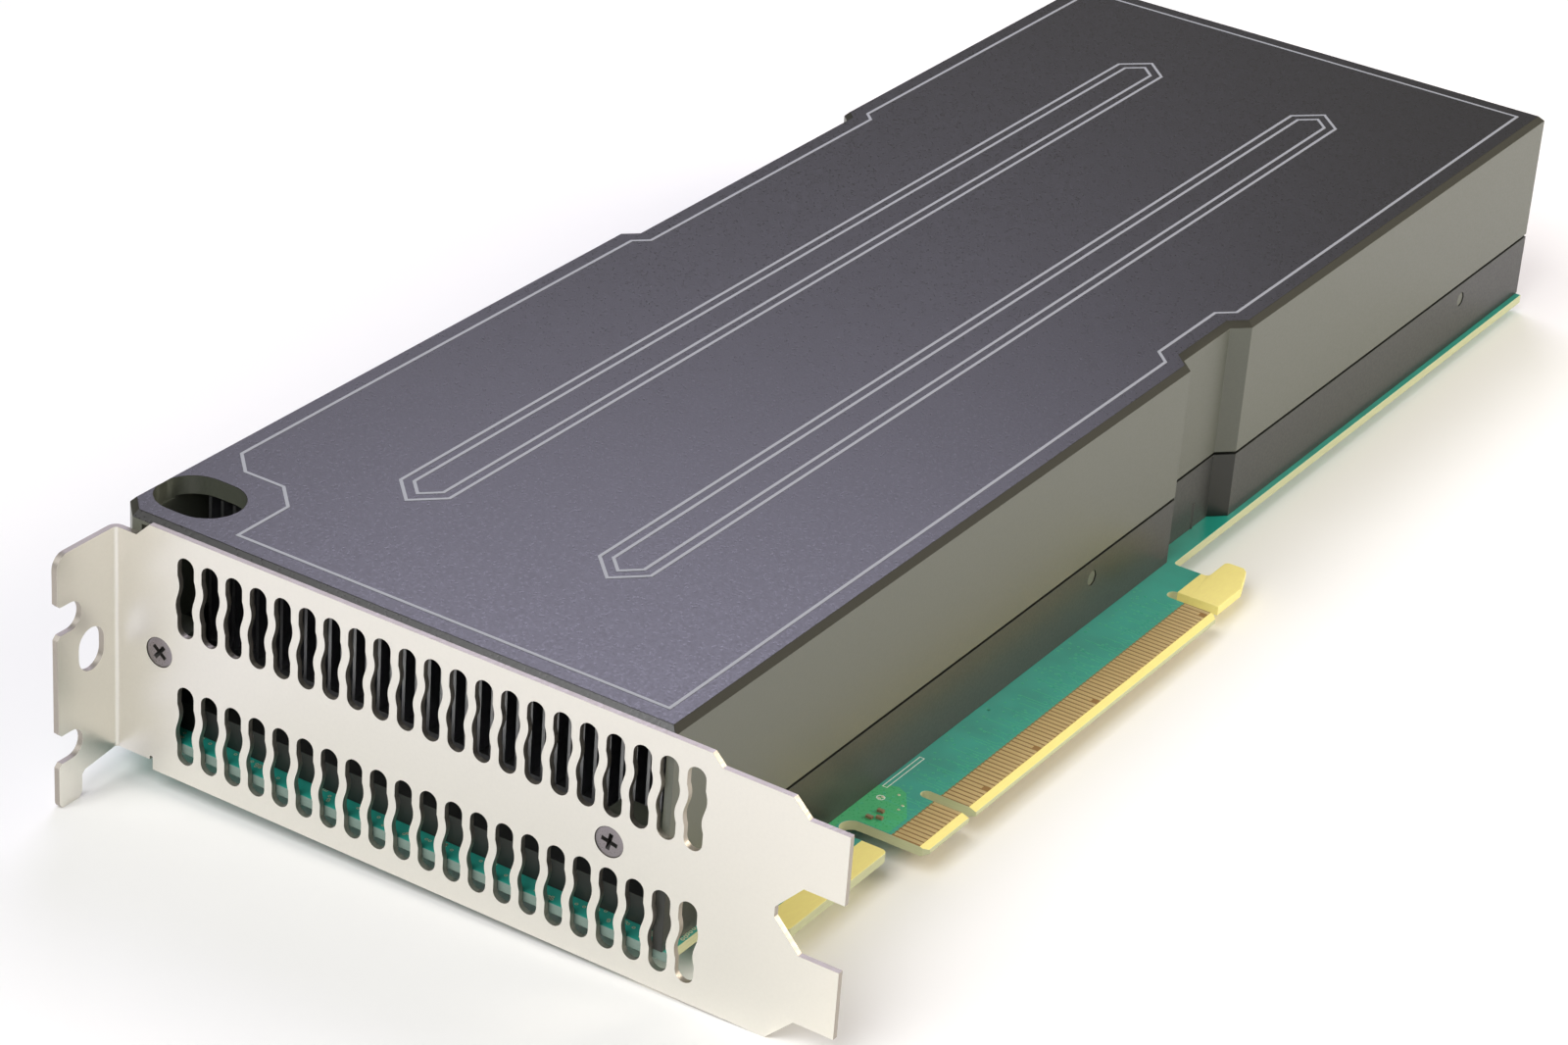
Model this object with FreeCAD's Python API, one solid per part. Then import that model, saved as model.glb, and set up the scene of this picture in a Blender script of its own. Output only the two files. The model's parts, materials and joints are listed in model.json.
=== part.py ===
"""Passive dual-slot accelerator card, one STEP file for each piece. Millimetres.

The origin is on the board's component side, in the middle of the edge connector's key notch and level
with the ends of its contacts. +X runs along the card away from the bracket, +Y from the contacts to the
card's top edge, and +Z out of the component side, through the cover.
"""
import FreeCAD, Part
import os
from math import cos, radians, sin, tan

# ---- Fits ----------------------------------------------------------------------------------------
CLEARANCE = 0.3            # between pieces that pass each other without touching
SCREW_CLEARANCE = 0.05     # around a screw in its hole
OPENING_CLEARANCE = 1.3    # round parts that stand in an opening of the frame's floor
PAST = 2.0                 # how far a cutting tool runs past the face it leaves by
SAME_PLACE = 1e-6          # two points nearer than this are one

# ---- Board and edge connector --------------------------------------------------------------------
BOARD_THICKNESS = 1.57
BOARD_LENGTH = 265.8
BOARD_HEIGHT = 98.0        # lower edge to top edge
BOARD_LOWER_EDGE = 13.15   # above the ends of the contacts
NOTCH_TO_BRACKET = 56.5    # middle of the key notch to the bracket's outer face

CONTACT_PITCH = 1.0
CONTACTS_BEFORE_KEY = 11
CONTACTS_AFTER_KEY = 71
KEY_TO_CONTACT = 1.5       # middle of the key notch to the contact beside it
CONTACT_WIDTH = 0.7
CONTACT_THICKNESS = 0.05
CONTACT_START = 1.3        # from the tongue's end
CONTACT_LENGTH = 4.3
PRESENCE_CONTACTS = (17, 31, 48, 81)   # the short ones, which touch last
PRESENCE_SETBACK = 1.1
KEY_NOTCH_WIDTH = 1.9
KEY_NOTCH_DEPTH = 8.45
TONGUE_MARGIN = 0.65       # last contact's middle to the tongue's side
TONGUE_CORNER = 0.8
BEVEL_HEIGHT = 1.3
BEVEL_ANGLE = 20.0

LEG_SLOT_WIDTH = 3.75
LEG_SLOT_TOP = 12.85
LEG_WIDTH = 25.1
LEG_END = 4.0
LEG_CORNER = 1.0
HOOK_SLOT_WIDTH = 2.25
HOOK_SLOT_TOP = 9.3
HOOK_STEM_WIDTH = 7.6
HOOK_FOOT_REACH = 5.9      # how far the foot stands out past the stem
HOOK_FOOT_LOW = 1.2
HOOK_FOOT_HIGH = 7.0
HOOK_TOE_RISE = 1.9        # how much the foot's underside climbs towards its toe
HOOK_CORNER = 0.8
EDGE_PARTS = ((-8.1, 10.1), (-10.4, 10.5), (-9.7, 9.3))   # tiny resistors beside the slot, at X, Y
EDGE_PART_SIZE = (0.55, 1.0, 0.4)

# ---- Bracket ---------------------------------------------------------------------------------------
SHEET = 0.9
BEND_RADIUS = 0.6
SLOT_PITCH = 20.32         # between the two expansion slots that the card fills
BRACKET_BOTTOM = -5.36
BRACKET_HEIGHT = 38.74
NECK_BOTTOM = -3.9         # the narrower neck beside the flange
NECK_TOP = 31.1
NECK_LENGTH = 5.4
SHOULDER = 2.3             # the slope from the neck up to the full height
RELIEF_WIDTH = 0.5
RELIEF_TOP = -3.3
FLANGE_SEAT_DROP = 4.81    # from the board's top edge down to the flange's underside
FLANGE_REACH = 12.0        # from the bracket's outer face to the flange's free edge
FLANGE_CORNER = 2.2
FLANGE_NOTCH_WIDTH = 4.42
FLANGE_NOTCH_DEPTH = 4.9
FLANGE_NOTCH_MIDDLE = 20.9 # the upper notch; the other is one slot pitch lower
NOTCH_LIP = 0.6
FLANGE_HOLE = (5.1, 6.7)   # across and up
FLANGE_HOLE_OUT = 5.15     # from the bracket's outer face
FOOT_BOTTOM = -8.8
FOOT_WIDTH = 4.7
FOOT_CORNER = 1.1
FOOT_ARCH = -4.7           # where the flange's lower edge meets the foot
TONGUE_TIP = -13.2         # end of the two tips that drop behind the chassis edge
TONGUE_WIDTH = 10.2
TONGUE_MIDDLE = 24.17      # the upper tip; the other is one slot pitch lower
TIP_SHOULDER_END = -7.05
TIP_SHOULDER_DROP = 2.5
TOP_STEP = 1.65            # the body's upper corner over the tips
TOP_STEP_START = 7.8
VALLEY_DEPTH = 4.0         # the V between the two tips
VALLEY_FLOOR = 1.6
VENT_PITCH = 4.2
VENT_FIRST = 9.9
VENT_MARGIN = 4.0          # least distance from the last vent's middle to the relief cut
VENT_WIDTH = 2.9
VENT_HEIGHT = 12.45
VENT_WAVE = 0.32           # how far the vent's middle swings to each side
VENT_SWING = 3.2           # length of each swing
VENT_SWING_SIDES = 2       # flats along each swing
VENT_END_SIDES = 5         # flats round each end

# ---- Housing: cover and base frame -----------------------------------------------------------------
HOUSING_OVERHANG = 0.3     # past the board's far end
LOW_LEDGE = 0.95           # board left bare beside the edge connector
HIGH_LEDGE = 3.95          # board left bare along its top edge
LOW_RECESS_LEAD = 0.4      # the recess starts this far before the hook's foot
LOW_RECESS_DEPTH = 2.5
LOW_RECESS_FLAT = 15.0
HIGH_RECESS_START = 120.0  # from the bracket's outer face
HIGH_RECESS_DEPTH = 2.2
HIGH_RECESS_FLAT = 61.8
HIGH_FAR_SETBACK = 0.5
CORNER_CUT = 4.0           # the slanted corner beside the flange
COVER_TOP = 33.9
COVER_WALL = 1.2
COVER_ROOF = 1.5
COVER_EDGE = 0.9           # radius of the edge round the roof
FRAME_HEIGHT = 11.0
FRAME_WALL = 1.6
SEAM = 0.45
SEAM_DEPTH = 0.6
WINDOW = (10.8, 13.4)      # the obround window in the roof, along and across
WINDOW_MIDDLE = (9.9, 7.5) # from the bracket's outer face, and in from the housing's high side
WINDOW_RIM = 0.7
WINDOW_RIM_DEPTH = 2.9
LUG_DEPTH = 6.0
LUG_HALF = 2.6
BRACKET_SCREW_INSET = 8.6  # in from the housing's long sides
NEAR_EAR = 113.0           # from the bracket's outer face
FAR_EAR = 25.9             # from the housing's far end
EAR_WIDTH = 9.0
EAR_THICKNESS = 1.5
EAR_DROP = 6.0             # how far an ear hangs inside the frame
EAR_ROOT = 2.5
BUTTON_RADIUS = 1.25       # of the round buttons by which the ears snap into the frame
BUTTON_HEIGHT = 8.0
BUTTON_SINK = 0.15         # how far a button stays under the frame's outer face
FLOOR_BOTTOM = 2.4
FLOOR_THICKNESS = 2.0
SILL_SETBACK = 3.5         # from the bracket to the sill that ends the floor on the board
SILL_THICKNESS = 1.5
EXTENDER_SCREW_INSET = 7.0
EXTENDER_HOLE_RADIUS = 1.25
EXTENDER_HOLE_DEPTH = 6.0
EXTENDER_LUG_DEPTH = 8.0
EXTENDER_HEIGHT = 6.0

# ---- Printed lines on the roof ---------------------------------------------------------------------
STRIPE_WIDTH = 0.5
STRIPE_THICKNESS = 0.05
BORDER_INSET = 3.4
BORDER_END_INSET = 3.6
WINDOW_BYPASS = 4.0
LANE_LENGTH = 214.0
LANE_WIDTH = 9.0
LANE_GAP = 1.7             # between the two lines of a lane
LANE_OFFSET = 17.0         # a lane's middle from the roof's middle line

# ---- Heat sinks, processors and what stands round them ---------------------------------------------
OUTLET_DEPTH = 14.6        # free length behind the bracket
INLET_DEPTH = 17.3         # free length at the far end
MIDDLE_GAP = 14.5          # between the two heat sinks
SIDE_GAP = 2.7             # least distance from the fins to the frame's long walls
HEAT_SINK_BASE = 3.0
FIN_PITCH = 2.15
FIN_THICKNESS = 0.5
SUBSTRATE = (42.5, 42.5, 2.0)
DIE = (20.5, 18.0, 0.8)
CONTACT_PLATE = 44.0
MEMORY_CHIP = (14.0, 12.0, 1.2)
MEMORY_RING = 33.0         # middle of the processor to the middles of the chips
MEMORY_STEP = 9.0
INDUCTOR = (8.0, 8.0, 4.0)
INDUCTOR_OFFSET = 46.5     # middle of the processor to the middles of the inductors
INDUCTOR_COUNT = 6
INDUCTOR_PITCH = 11.0
INDUCTOR_EDGE = 0.4
POWER_STAGE = (5.0, 6.0, 1.0)
POWER_STAGE_OFFSET = 54.5
BRIDGE_CHIP = (19.0, 19.0, 1.9)
BRIDGE_CLEARANCE = 1.0     # from the bosses of the board screws
BULK_CAPACITOR_RADIUS = 3.15
BULK_CAPACITOR_HEIGHT = 5.8
BULK_CAPACITOR_PITCH = 8.2
BULK_CAPACITOR_COUNT = 5
BULK_CAPACITOR_END = 9.0   # in from the housing's far end
BULK_CAPACITOR_INSET = 16.0
DECOUPLER = (1.6, 0.8, 0.8)
DECOUPLER_ROWS = 2
DECOUPLER_COLUMNS = 4
DECOUPLER_PITCH = 3.4
BACKING_PLATE = 1.2
BACKING_ARM = 9.0
BACKING_RING = 36.0
BACKING_WINDOW = 20.0

# ---- Screws ------------------------------------------------------------------------------------------
BRACKET_SCREW = {"shank": 1.25, "head": 2.25, "waist": 1.5, "head_height": 0.9, "length": 6.0}
HEAT_SINK_SCREW = {"shank": 1.25, "head": 2.6, "head_height": 1.4}
HEAT_SINK_BITE = 1.8       # how far a heat-sink screw reaches into the base plate
POST_OFFSET = 30.0         # heat-sink screws, from the middle of the processor
BOARD_SCREW = {"shank": 1.25, "head": 2.3, "head_height": 1.3}
BOARD_SCREW_INSET = 5.3    # in from the housing's long sides
BOARD_SCREW_OFFSETS = (-36.0, 44.0)    # from the middle of each processor
BOSS_RADIUS = 3.0
SMALL_SIDES = 8            # flats that stand for the round of the many small screws and their holes

# ---- Power connector -----------------------------------------------------------------------------------
POWER_PITCH = 4.2
POWER_COLUMNS = 4
POWER_ROWS = 2
POWER_DEPTH = 13.0
POWER_WALL = 0.9
POWER_BACK = 2.0
POWER_CAVITY = 3.4
POWER_INSET = 22.2         # the connector's middle, in from the housing's high side
PIN_SIZE = 1.0
PIN_REACH = 9.0            # how far a pin stands in front of the back wall
PIN_ROW_STEP = 1.7
LATCH = (6.0, 5.0, 1.4)

# ---- Places worked out from the sizes above --------------------------------------------------------
FACE = -NOTCH_TO_BRACKET
SHEET_BACK = FACE + SHEET
BOARD_START = SHEET_BACK + CLEARANCE
BOARD_END = BOARD_START + BOARD_LENGTH
BOARD_TOP_EDGE = BOARD_LOWER_EDGE + BOARD_HEIGHT
BOARD_UNDER = -BOARD_THICKNESS
TONGUE_LEFT = -(KEY_TO_CONTACT + (CONTACTS_BEFORE_KEY - 1) * CONTACT_PITCH + TONGUE_MARGIN)
TONGUE_RIGHT = KEY_TO_CONTACT + (CONTACTS_AFTER_KEY - 1) * CONTACT_PITCH + TONGUE_MARGIN
STEM_RIGHT = TONGUE_RIGHT + HOOK_SLOT_WIDTH + HOOK_STEM_WIDTH

FLANGE_SEAT = BOARD_TOP_EDGE - FLANGE_SEAT_DROP
BRACKET_TOP = BRACKET_BOTTOM + BRACKET_HEIGHT
BRACKET_MIDDLE = BRACKET_BOTTOM + BRACKET_HEIGHT / 2
NECK_START = FLANGE_SEAT - BEND_RADIUS - NECK_LENGTH + SHOULDER
RELIEF_START = NECK_START - SHOULDER - RELIEF_WIDTH
VENT_ROWS = (BRACKET_MIDDLE + SLOT_PITCH / 2, BRACKET_MIDDLE - SLOT_PITCH / 2)
VENT_COUNT = int((RELIEF_START - VENT_MARGIN - VENT_FIRST) / VENT_PITCH) + 1

HOUSING_START = SHEET_BACK
HOUSING_END = BOARD_END + HOUSING_OVERHANG
HOUSING_LOW = BOARD_LOWER_EDGE + LOW_LEDGE
HOUSING_HIGH = BOARD_TOP_EDGE - HIGH_LEDGE
HOUSING_MIDDLE = (HOUSING_LOW + HOUSING_HIGH) / 2
ROOF_UNDER = COVER_TOP - COVER_ROOF
SEAM_TOP = FRAME_HEIGHT + SEAM
FLOOR_TOP = FLOOR_BOTTOM + FLOOR_THICKNESS
BRACKET_SCREW_ROWS = (HOUSING_LOW + BRACKET_SCREW_INSET, HOUSING_HIGH - BRACKET_SCREW_INSET)
BOARD_SCREW_ROWS = (HOUSING_LOW + BOARD_SCREW_INSET, HOUSING_HIGH - BOARD_SCREW_INSET)
EXTENDER_ROWS = (HOUSING_LOW + EXTENDER_SCREW_INSET, HOUSING_HIGH - EXTENDER_SCREW_INSET)

SINKS_START = HOUSING_START + OUTLET_DEPTH
SINKS_END = HOUSING_END - INLET_DEPTH
SINK_LENGTH = (SINKS_END - SINKS_START - MIDDLE_GAP) / 2
SINK_STARTS = {"front": SINKS_START, "rear": SINKS_END - SINK_LENGTH}
SINK_WIDTH = HOUSING_HIGH - HOUSING_LOW - 2 * (FRAME_WALL + SIDE_GAP)
FIN_COUNT = int((SINK_WIDTH - FIN_THICKNESS) / FIN_PITCH) + 1
MODULE_REACH = (MEMORY_RING + MEMORY_CHIP[0] / 2, POWER_STAGE_OFFSET + POWER_STAGE[0] / 2)
DIE_TOP = SUBSTRATE[2] + DIE[2]
SINK_UNDER = FLOOR_TOP + CLEARANCE
SINK_FLOOR = SINK_UNDER + HEAT_SINK_BASE
FIN_TOP = COVER_TOP - WINDOW_RIM_DEPTH - CLEARANCE
POWER_MIDDLE = HOUSING_HIGH - POWER_INSET
POWER_WIDTH = POWER_COLUMNS * POWER_PITCH + 2 * POWER_WALL
POWER_HEIGHT = POWER_ROWS * POWER_PITCH + 2 * POWER_WALL


# ---- Shape helpers -----------------------------------------------------------------------------------
def along(distance):
    """X of a place given as a distance from the bracket's outer face."""
    return FACE + distance


def box(low, high):
    """A box between two opposite corners."""
    size = [high[i] - low[i] for i in range(3)]
    return Part.makeBox(*size, FreeCAD.Vector(*low))


def block(size, middle, floor):
    """A box of the given size, centred on a place in plan and standing on a height."""
    low = (middle[0] - size[0] / 2, middle[1] - size[1] / 2, floor)
    return box(low, (low[0] + size[0], low[1] + size[1], floor + size[2]))


def rod(radius, start, direction, length):
    """A round bar."""
    return Part.makeCylinder(radius, length, FreeCAD.Vector(*start), FreeCAD.Vector(*direction))


def plate(steps, plane, level, thickness):
    """A flat plate from its outline.

    Each step is a point (a, b), or a pair of points (middle, end) for an arc. The plane names the two
    axes that a and b run along, and level is the plate's place on the third.
    """
    axes = {"XY": (0, 1, 2), "YZ": (1, 2, 0), "XZ": (0, 2, 1)}[plane]

    def place(point):
        spot = [level, level, level]
        spot[axes[0]], spot[axes[1]] = point
        return FreeCAD.Vector(*spot)

    ends = [step[-1] if isinstance(step[0], tuple) else step for step in steps]
    edges = []
    for i, step in enumerate(steps):
        start = place(ends[i - 1])
        if isinstance(step[0], tuple):
            edges.append(Part.Arc(start, place(step[0]), place(step[1])).toShape())
        elif start.distanceToPoint(place(step)) > SAME_PLACE:
            edges.append(Part.makeLine(start, place(step)))
    push = [0.0, 0.0, 0.0]
    push[axes[2]] = thickness
    return Part.Face(Part.Wire(edges)).extrude(FreeCAD.Vector(*push))


def corner(middle, radius, start, end):
    """The last two steps of a rounded corner: an arc about a middle, from one angle to another."""
    spots = [radians(angle) for angle in ((start + end) / 2, end)]
    return tuple((middle[0] + radius * cos(a), middle[1] + radius * sin(a)) for a in spots)


def obround(size, middle, plane, level, thickness):
    """A plate with two straight sides and two half-round ends, longer along its second axis."""
    half, straight = size[0] / 2, (size[1] - size[0]) / 2
    top, bottom = middle[1] + straight, middle[1] - straight
    steps = [(middle[0] + half, bottom), (middle[0] + half, top),
             corner((middle[0], top), half, 0, 180), (middle[0] - half, bottom),
             corner((middle[0], bottom), half, 180, 360)]
    return plate(steps, plane, level, thickness)


def slot_in_board(left, width, top):
    """A round-ended slot that runs up into the board from its lower edge."""
    half = width / 2
    steps = [(left, -PAST), (left + width, -PAST), (left + width, top - half),
             corner((left + half, top - half), half, 0, 180)]
    return plate(steps, "XY", BOARD_UNDER - PAST, BOARD_THICKNESS + 2 * PAST)


def joined(shapes):
    """All the shapes as one solid, with no seams between them."""
    return shapes[0].fuse(shapes[1:]).removeSplitter()


def small_rim(radius, start, direction):
    """The corners of a ring that stands for a circle on small screws and their holes."""
    start, way = FreeCAD.Vector(*start), FreeCAD.Vector(*direction)
    arm = FreeCAD.Vector(way.z, way.x, way.y) * radius
    return [start + FreeCAD.Rotation(way, 360 * side / SMALL_SIDES).multVec(arm)
            for side in range(SMALL_SIDES + 1)]


def small_rod(radius, start, direction, length):
    """A bar like rod's with a few flats for its round, for the many small screws and their holes."""
    rim = Part.makePolygon(small_rim(radius, start, direction))
    return Part.Face(rim).extrude(FreeCAD.Vector(*direction) * length)


def flat_screw(screw, place, direction, grow=0.0):
    """A countersunk screw, flush with the face it enters, or with grow the hole that it sits in."""
    waist = FreeCAD.Vector(*place) + FreeCAD.Vector(*direction) * screw["head_height"]
    wide = small_rim(screw["head"] + grow, place, direction)
    narrow = small_rim(screw["waist"] + grow, waist, direction)
    outlines = [[wide[side], wide[side + 1], narrow[side + 1], narrow[side], wide[side]]
                for side in range(SMALL_SIDES)]
    head = Part.Solid(Part.Shell([Part.Face(Part.makePolygon(outline))
                                  for outline in outlines + [wide, narrow]]))
    return joined([head, small_rod(screw["shank"] + grow, place, direction, screw["length"] + grow)])


def board_side_screw(screw, spot, seat, tip):
    """A screw driven upwards from the solder side, its head against a face at the seat."""
    low = seat - screw["head_height"]
    return joined([small_rod(screw["head"], (*spot, low), (0, 0, 1), screw["head_height"]),
                   small_rod(screw["shank"], (*spot, seat), (0, 0, 1), tip - seat)])


def screw_hole(screw, spot, low, high):
    """The hole in which an upright screw sits."""
    return small_rod(screw["shank"] + SCREW_CLEARANCE, (*spot, low), (0, 0, 1), high - low)


# ---- Board -------------------------------------------------------------------------------------------
def circuit_board():
    """The board with its contact tongue, its leg by the bracket and its retention hook."""
    depth = BOARD_THICKNESS
    main = box((BOARD_START, BOARD_LOWER_EDGE, BOARD_UNDER), (BOARD_END, BOARD_TOP_EDGE, 0))
    hook_left = TONGUE_RIGHT + HOOK_SLOT_WIDTH
    toe = STEM_RIGHT + HOOK_FOOT_REACH
    leg_right = TONGUE_LEFT - LEG_SLOT_WIDTH
    leg_left = leg_right - LEG_WIDTH

    leg = plate([(leg_left, BOARD_LOWER_EDGE), (leg_left, LEG_END + LEG_CORNER),
                 corner((leg_left + LEG_CORNER, LEG_END + LEG_CORNER), LEG_CORNER, 180, 270),
                 (leg_right - LEG_CORNER, LEG_END),
                 corner((leg_right - LEG_CORNER, LEG_END + LEG_CORNER), LEG_CORNER, 270, 360),
                 (leg_right, BOARD_LOWER_EDGE)], "XY", BOARD_UNDER, depth)
    tongue = plate([(TONGUE_LEFT, BOARD_LOWER_EDGE), (TONGUE_LEFT, TONGUE_CORNER),
                    (TONGUE_LEFT + TONGUE_CORNER, 0), (TONGUE_RIGHT - TONGUE_CORNER, 0),
                    (TONGUE_RIGHT, TONGUE_CORNER), (TONGUE_RIGHT, BOARD_LOWER_EDGE)],
                   "XY", BOARD_UNDER, depth)
    root = box((leg_right, LEG_SLOT_TOP - LEG_SLOT_WIDTH / 2, BOARD_UNDER),
               (TONGUE_LEFT, BOARD_LOWER_EDGE, 0))
    hook_root = box((TONGUE_RIGHT, HOOK_SLOT_TOP - HOOK_SLOT_WIDTH / 2, BOARD_UNDER),
                    (hook_left, BOARD_LOWER_EDGE, 0))
    inner = STEM_RIGHT + HOOK_CORNER
    hook = plate([(hook_left, BOARD_LOWER_EDGE), (hook_left, HOOK_FOOT_LOW),
                  (STEM_RIGHT, HOOK_FOOT_LOW), (toe - HOOK_CORNER, HOOK_FOOT_LOW + HOOK_TOE_RISE),
                  (toe, HOOK_FOOT_LOW + HOOK_TOE_RISE + HOOK_CORNER), (toe, HOOK_FOOT_HIGH - HOOK_CORNER),
                  corner((toe - HOOK_CORNER, HOOK_FOOT_HIGH - HOOK_CORNER), HOOK_CORNER, 0, 90),
                  (inner, HOOK_FOOT_HIGH),
                  corner((inner, HOOK_FOOT_HIGH + HOOK_CORNER), HOOK_CORNER, 270, 180),
                  (STEM_RIGHT, BOARD_LOWER_EDGE - HOOK_CORNER),
                  corner((inner, BOARD_LOWER_EDGE - HOOK_CORNER), HOOK_CORNER, 180, 90)],
                 "XY", BOARD_UNDER, depth)

    board = joined([main, leg, tongue, root, hook_root, hook])
    for left, width, top in ((leg_right, LEG_SLOT_WIDTH, LEG_SLOT_TOP),
                             (-KEY_NOTCH_WIDTH / 2, KEY_NOTCH_WIDTH, KEY_NOTCH_DEPTH),
                             (TONGUE_RIGHT, HOOK_SLOT_WIDTH, HOOK_SLOT_TOP)):
        board = board.cut(slot_in_board(left, width, top))

    bite = BEVEL_HEIGHT * tan(radians(BEVEL_ANGLE))
    for face, way in ((0, -1), (BOARD_UNDER, 1)):
        wedge = plate([(0, face), (BEVEL_HEIGHT, face), (0, face + way * bite)],
                      "YZ", TONGUE_LEFT, TONGUE_RIGHT - TONGUE_LEFT)
        board = board.cut(wedge)

    below, above = BOARD_UNDER - PAST, PAST
    holes = [screw_hole(BOARD_SCREW, spot, below, above) for spot in board_screw_spots()]
    holes += [screw_hole(HEAT_SINK_SCREW, spot, below, above)
              for name in SINK_STARTS for spot in post_spots(name)]
    return board.cut(holes)


def contacts(side):
    """The gold contacts of one side of the tongue: 1 for the component side, -1 for the solder side."""
    level = 0 if side > 0 else BOARD_UNDER - CONTACT_THICKNESS
    pads = []
    for number in range(1, CONTACTS_BEFORE_KEY + CONTACTS_AFTER_KEY + 1):
        if number <= CONTACTS_BEFORE_KEY:
            x = -KEY_TO_CONTACT - (CONTACTS_BEFORE_KEY - number) * CONTACT_PITCH
        else:
            x = KEY_TO_CONTACT + (number - CONTACTS_BEFORE_KEY - 1) * CONTACT_PITCH
        short = number in PRESENCE_CONTACTS if side > 0 else number == 1
        setback = PRESENCE_SETBACK if short else 0.0
        length = CONTACT_LENGTH - setback
        middle = (x, CONTACT_START + setback + length / 2)
        pads.append(block((CONTACT_WIDTH, length, CONTACT_THICKNESS), middle, level))
    return Part.makeCompound(pads)


# ---- Bracket -----------------------------------------------------------------------------------------
def vent(y, z):
    """One wavy ventilation slot: round and straight at its ends, its middle swinging to both sides."""
    half, straight = VENT_WIDTH / 2, (VENT_HEIGHT - VENT_WIDTH) / 2
    rise = [number / VENT_SWING_SIDES for number in range(-VENT_SWING_SIDES, VENT_SWING_SIDES + 1)]
    wave = [(-VENT_WAVE * sin(radians(180 * turn)), VENT_SWING * turn) for turn in rise]
    turns = [radians(180 * side / VENT_END_SIDES) for side in range(VENT_END_SIDES + 1)]
    cap = [(half * cos(turn), straight + half * sin(turn)) for turn in turns]
    steps = [(y + half + across, z + up) for across, up in wave]
    steps += [(y + across, z + up) for across, up in cap]
    steps += [(y - half + across, z + up) for across, up in reversed(wave)]
    steps += [(y - across, z - up) for across, up in cap]
    return plate(steps, "YZ", FACE - PAST, SHEET + 2 * PAST)


def bracket_sheet():
    """The bracket's upright face with its two tips, flat."""
    lower_tip = TONGUE_MIDDLE - SLOT_PITCH
    half = TONGUE_WIDTH / 2
    step_end = TOP_STEP_START - TOP_STEP
    valley = TIP_SHOULDER_END + VALLEY_DEPTH
    low_shoulder = lower_tip - half
    steps = [(FLANGE_SEAT - BEND_RADIUS, NECK_BOTTOM), (FLANGE_SEAT - BEND_RADIUS, NECK_TOP),
             (NECK_START, NECK_TOP), (NECK_START - SHOULDER, BRACKET_TOP),
             (TOP_STEP_START, BRACKET_TOP), (step_end, BRACKET_TOP - TOP_STEP),
             (TIP_SHOULDER_END + TIP_SHOULDER_DROP, BRACKET_TOP - TOP_STEP),
             (TIP_SHOULDER_END, TONGUE_MIDDLE + half),
             (TONGUE_TIP, TONGUE_MIDDLE + half), (TONGUE_TIP, TONGUE_MIDDLE - half),
             (TIP_SHOULDER_END, TONGUE_MIDDLE - half), (valley, BRACKET_MIDDLE + VALLEY_FLOOR / 2),
             (valley, BRACKET_MIDDLE - VALLEY_FLOOR / 2), (TIP_SHOULDER_END, lower_tip + half),
             (TONGUE_TIP, lower_tip + half), (TONGUE_TIP, low_shoulder),
             (TIP_SHOULDER_END, low_shoulder),
             (TIP_SHOULDER_END + low_shoulder - BRACKET_BOTTOM, BRACKET_BOTTOM),
             (RELIEF_START, BRACKET_BOTTOM), (RELIEF_START, RELIEF_TOP),
             (RELIEF_START + RELIEF_WIDTH, RELIEF_TOP), (RELIEF_START + RELIEF_WIDTH, NECK_BOTTOM)]
    return plate(steps, "YZ", FACE, SHEET)


def bracket_bend():
    """The quarter-round fold between the upright face and the flange."""
    middle = (FACE - BEND_RADIUS, FLANGE_SEAT - BEND_RADIUS)
    outer = BEND_RADIUS + SHEET
    steps = [(FACE, middle[1]), corner(middle, BEND_RADIUS, 0, 90), (middle[0], middle[1] + outer),
             corner(middle, outer, 90, 0)]
    return plate(steps, "XY", NECK_BOTTOM, NECK_TOP - NECK_BOTTOM)


def bracket_flange():
    """The flange that is screwed to the chassis, with two open notches, a hole and a foot."""
    start, edge = FACE - BEND_RADIUS, FACE - FLANGE_REACH
    half = FLANGE_NOTCH_WIDTH / 2
    notch_end = edge + FLANGE_NOTCH_DEPTH
    foot_right = edge + FOOT_WIDTH
    steps = [(start, NECK_BOTTOM), (start, NECK_TOP), (edge + FLANGE_CORNER, NECK_TOP),
             corner((edge + FLANGE_CORNER, NECK_TOP - FLANGE_CORNER), FLANGE_CORNER, 90, 180)]
    for middle in (FLANGE_NOTCH_MIDDLE, FLANGE_NOTCH_MIDDLE - SLOT_PITCH):
        steps += [(edge, middle + half + NOTCH_LIP), (edge + NOTCH_LIP, middle + half),
                  (notch_end - half, middle + half), corner((notch_end - half, middle), half, 90, -90),
                  (edge + NOTCH_LIP, middle - half), (edge, middle - half - NOTCH_LIP)]
    steps += [(edge, FOOT_BOTTOM + FOOT_CORNER),
              corner((edge + FOOT_CORNER, FOOT_BOTTOM + FOOT_CORNER), FOOT_CORNER, 180, 270),
              (foot_right - FOOT_CORNER, FOOT_BOTTOM),
              corner((foot_right - FOOT_CORNER, FOOT_BOTTOM + FOOT_CORNER), FOOT_CORNER, 270, 360),
              (foot_right, FOOT_ARCH - NOTCH_LIP), (foot_right + NOTCH_LIP, FOOT_ARCH)]
    hole = obround(FLANGE_HOLE, (FACE - FLANGE_HOLE_OUT, BRACKET_MIDDLE), "XZ", FLANGE_SEAT - PAST,
                   SHEET + 2 * PAST)
    return plate(steps, "XZ", FLANGE_SEAT, SHEET).cut(hole)


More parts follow.
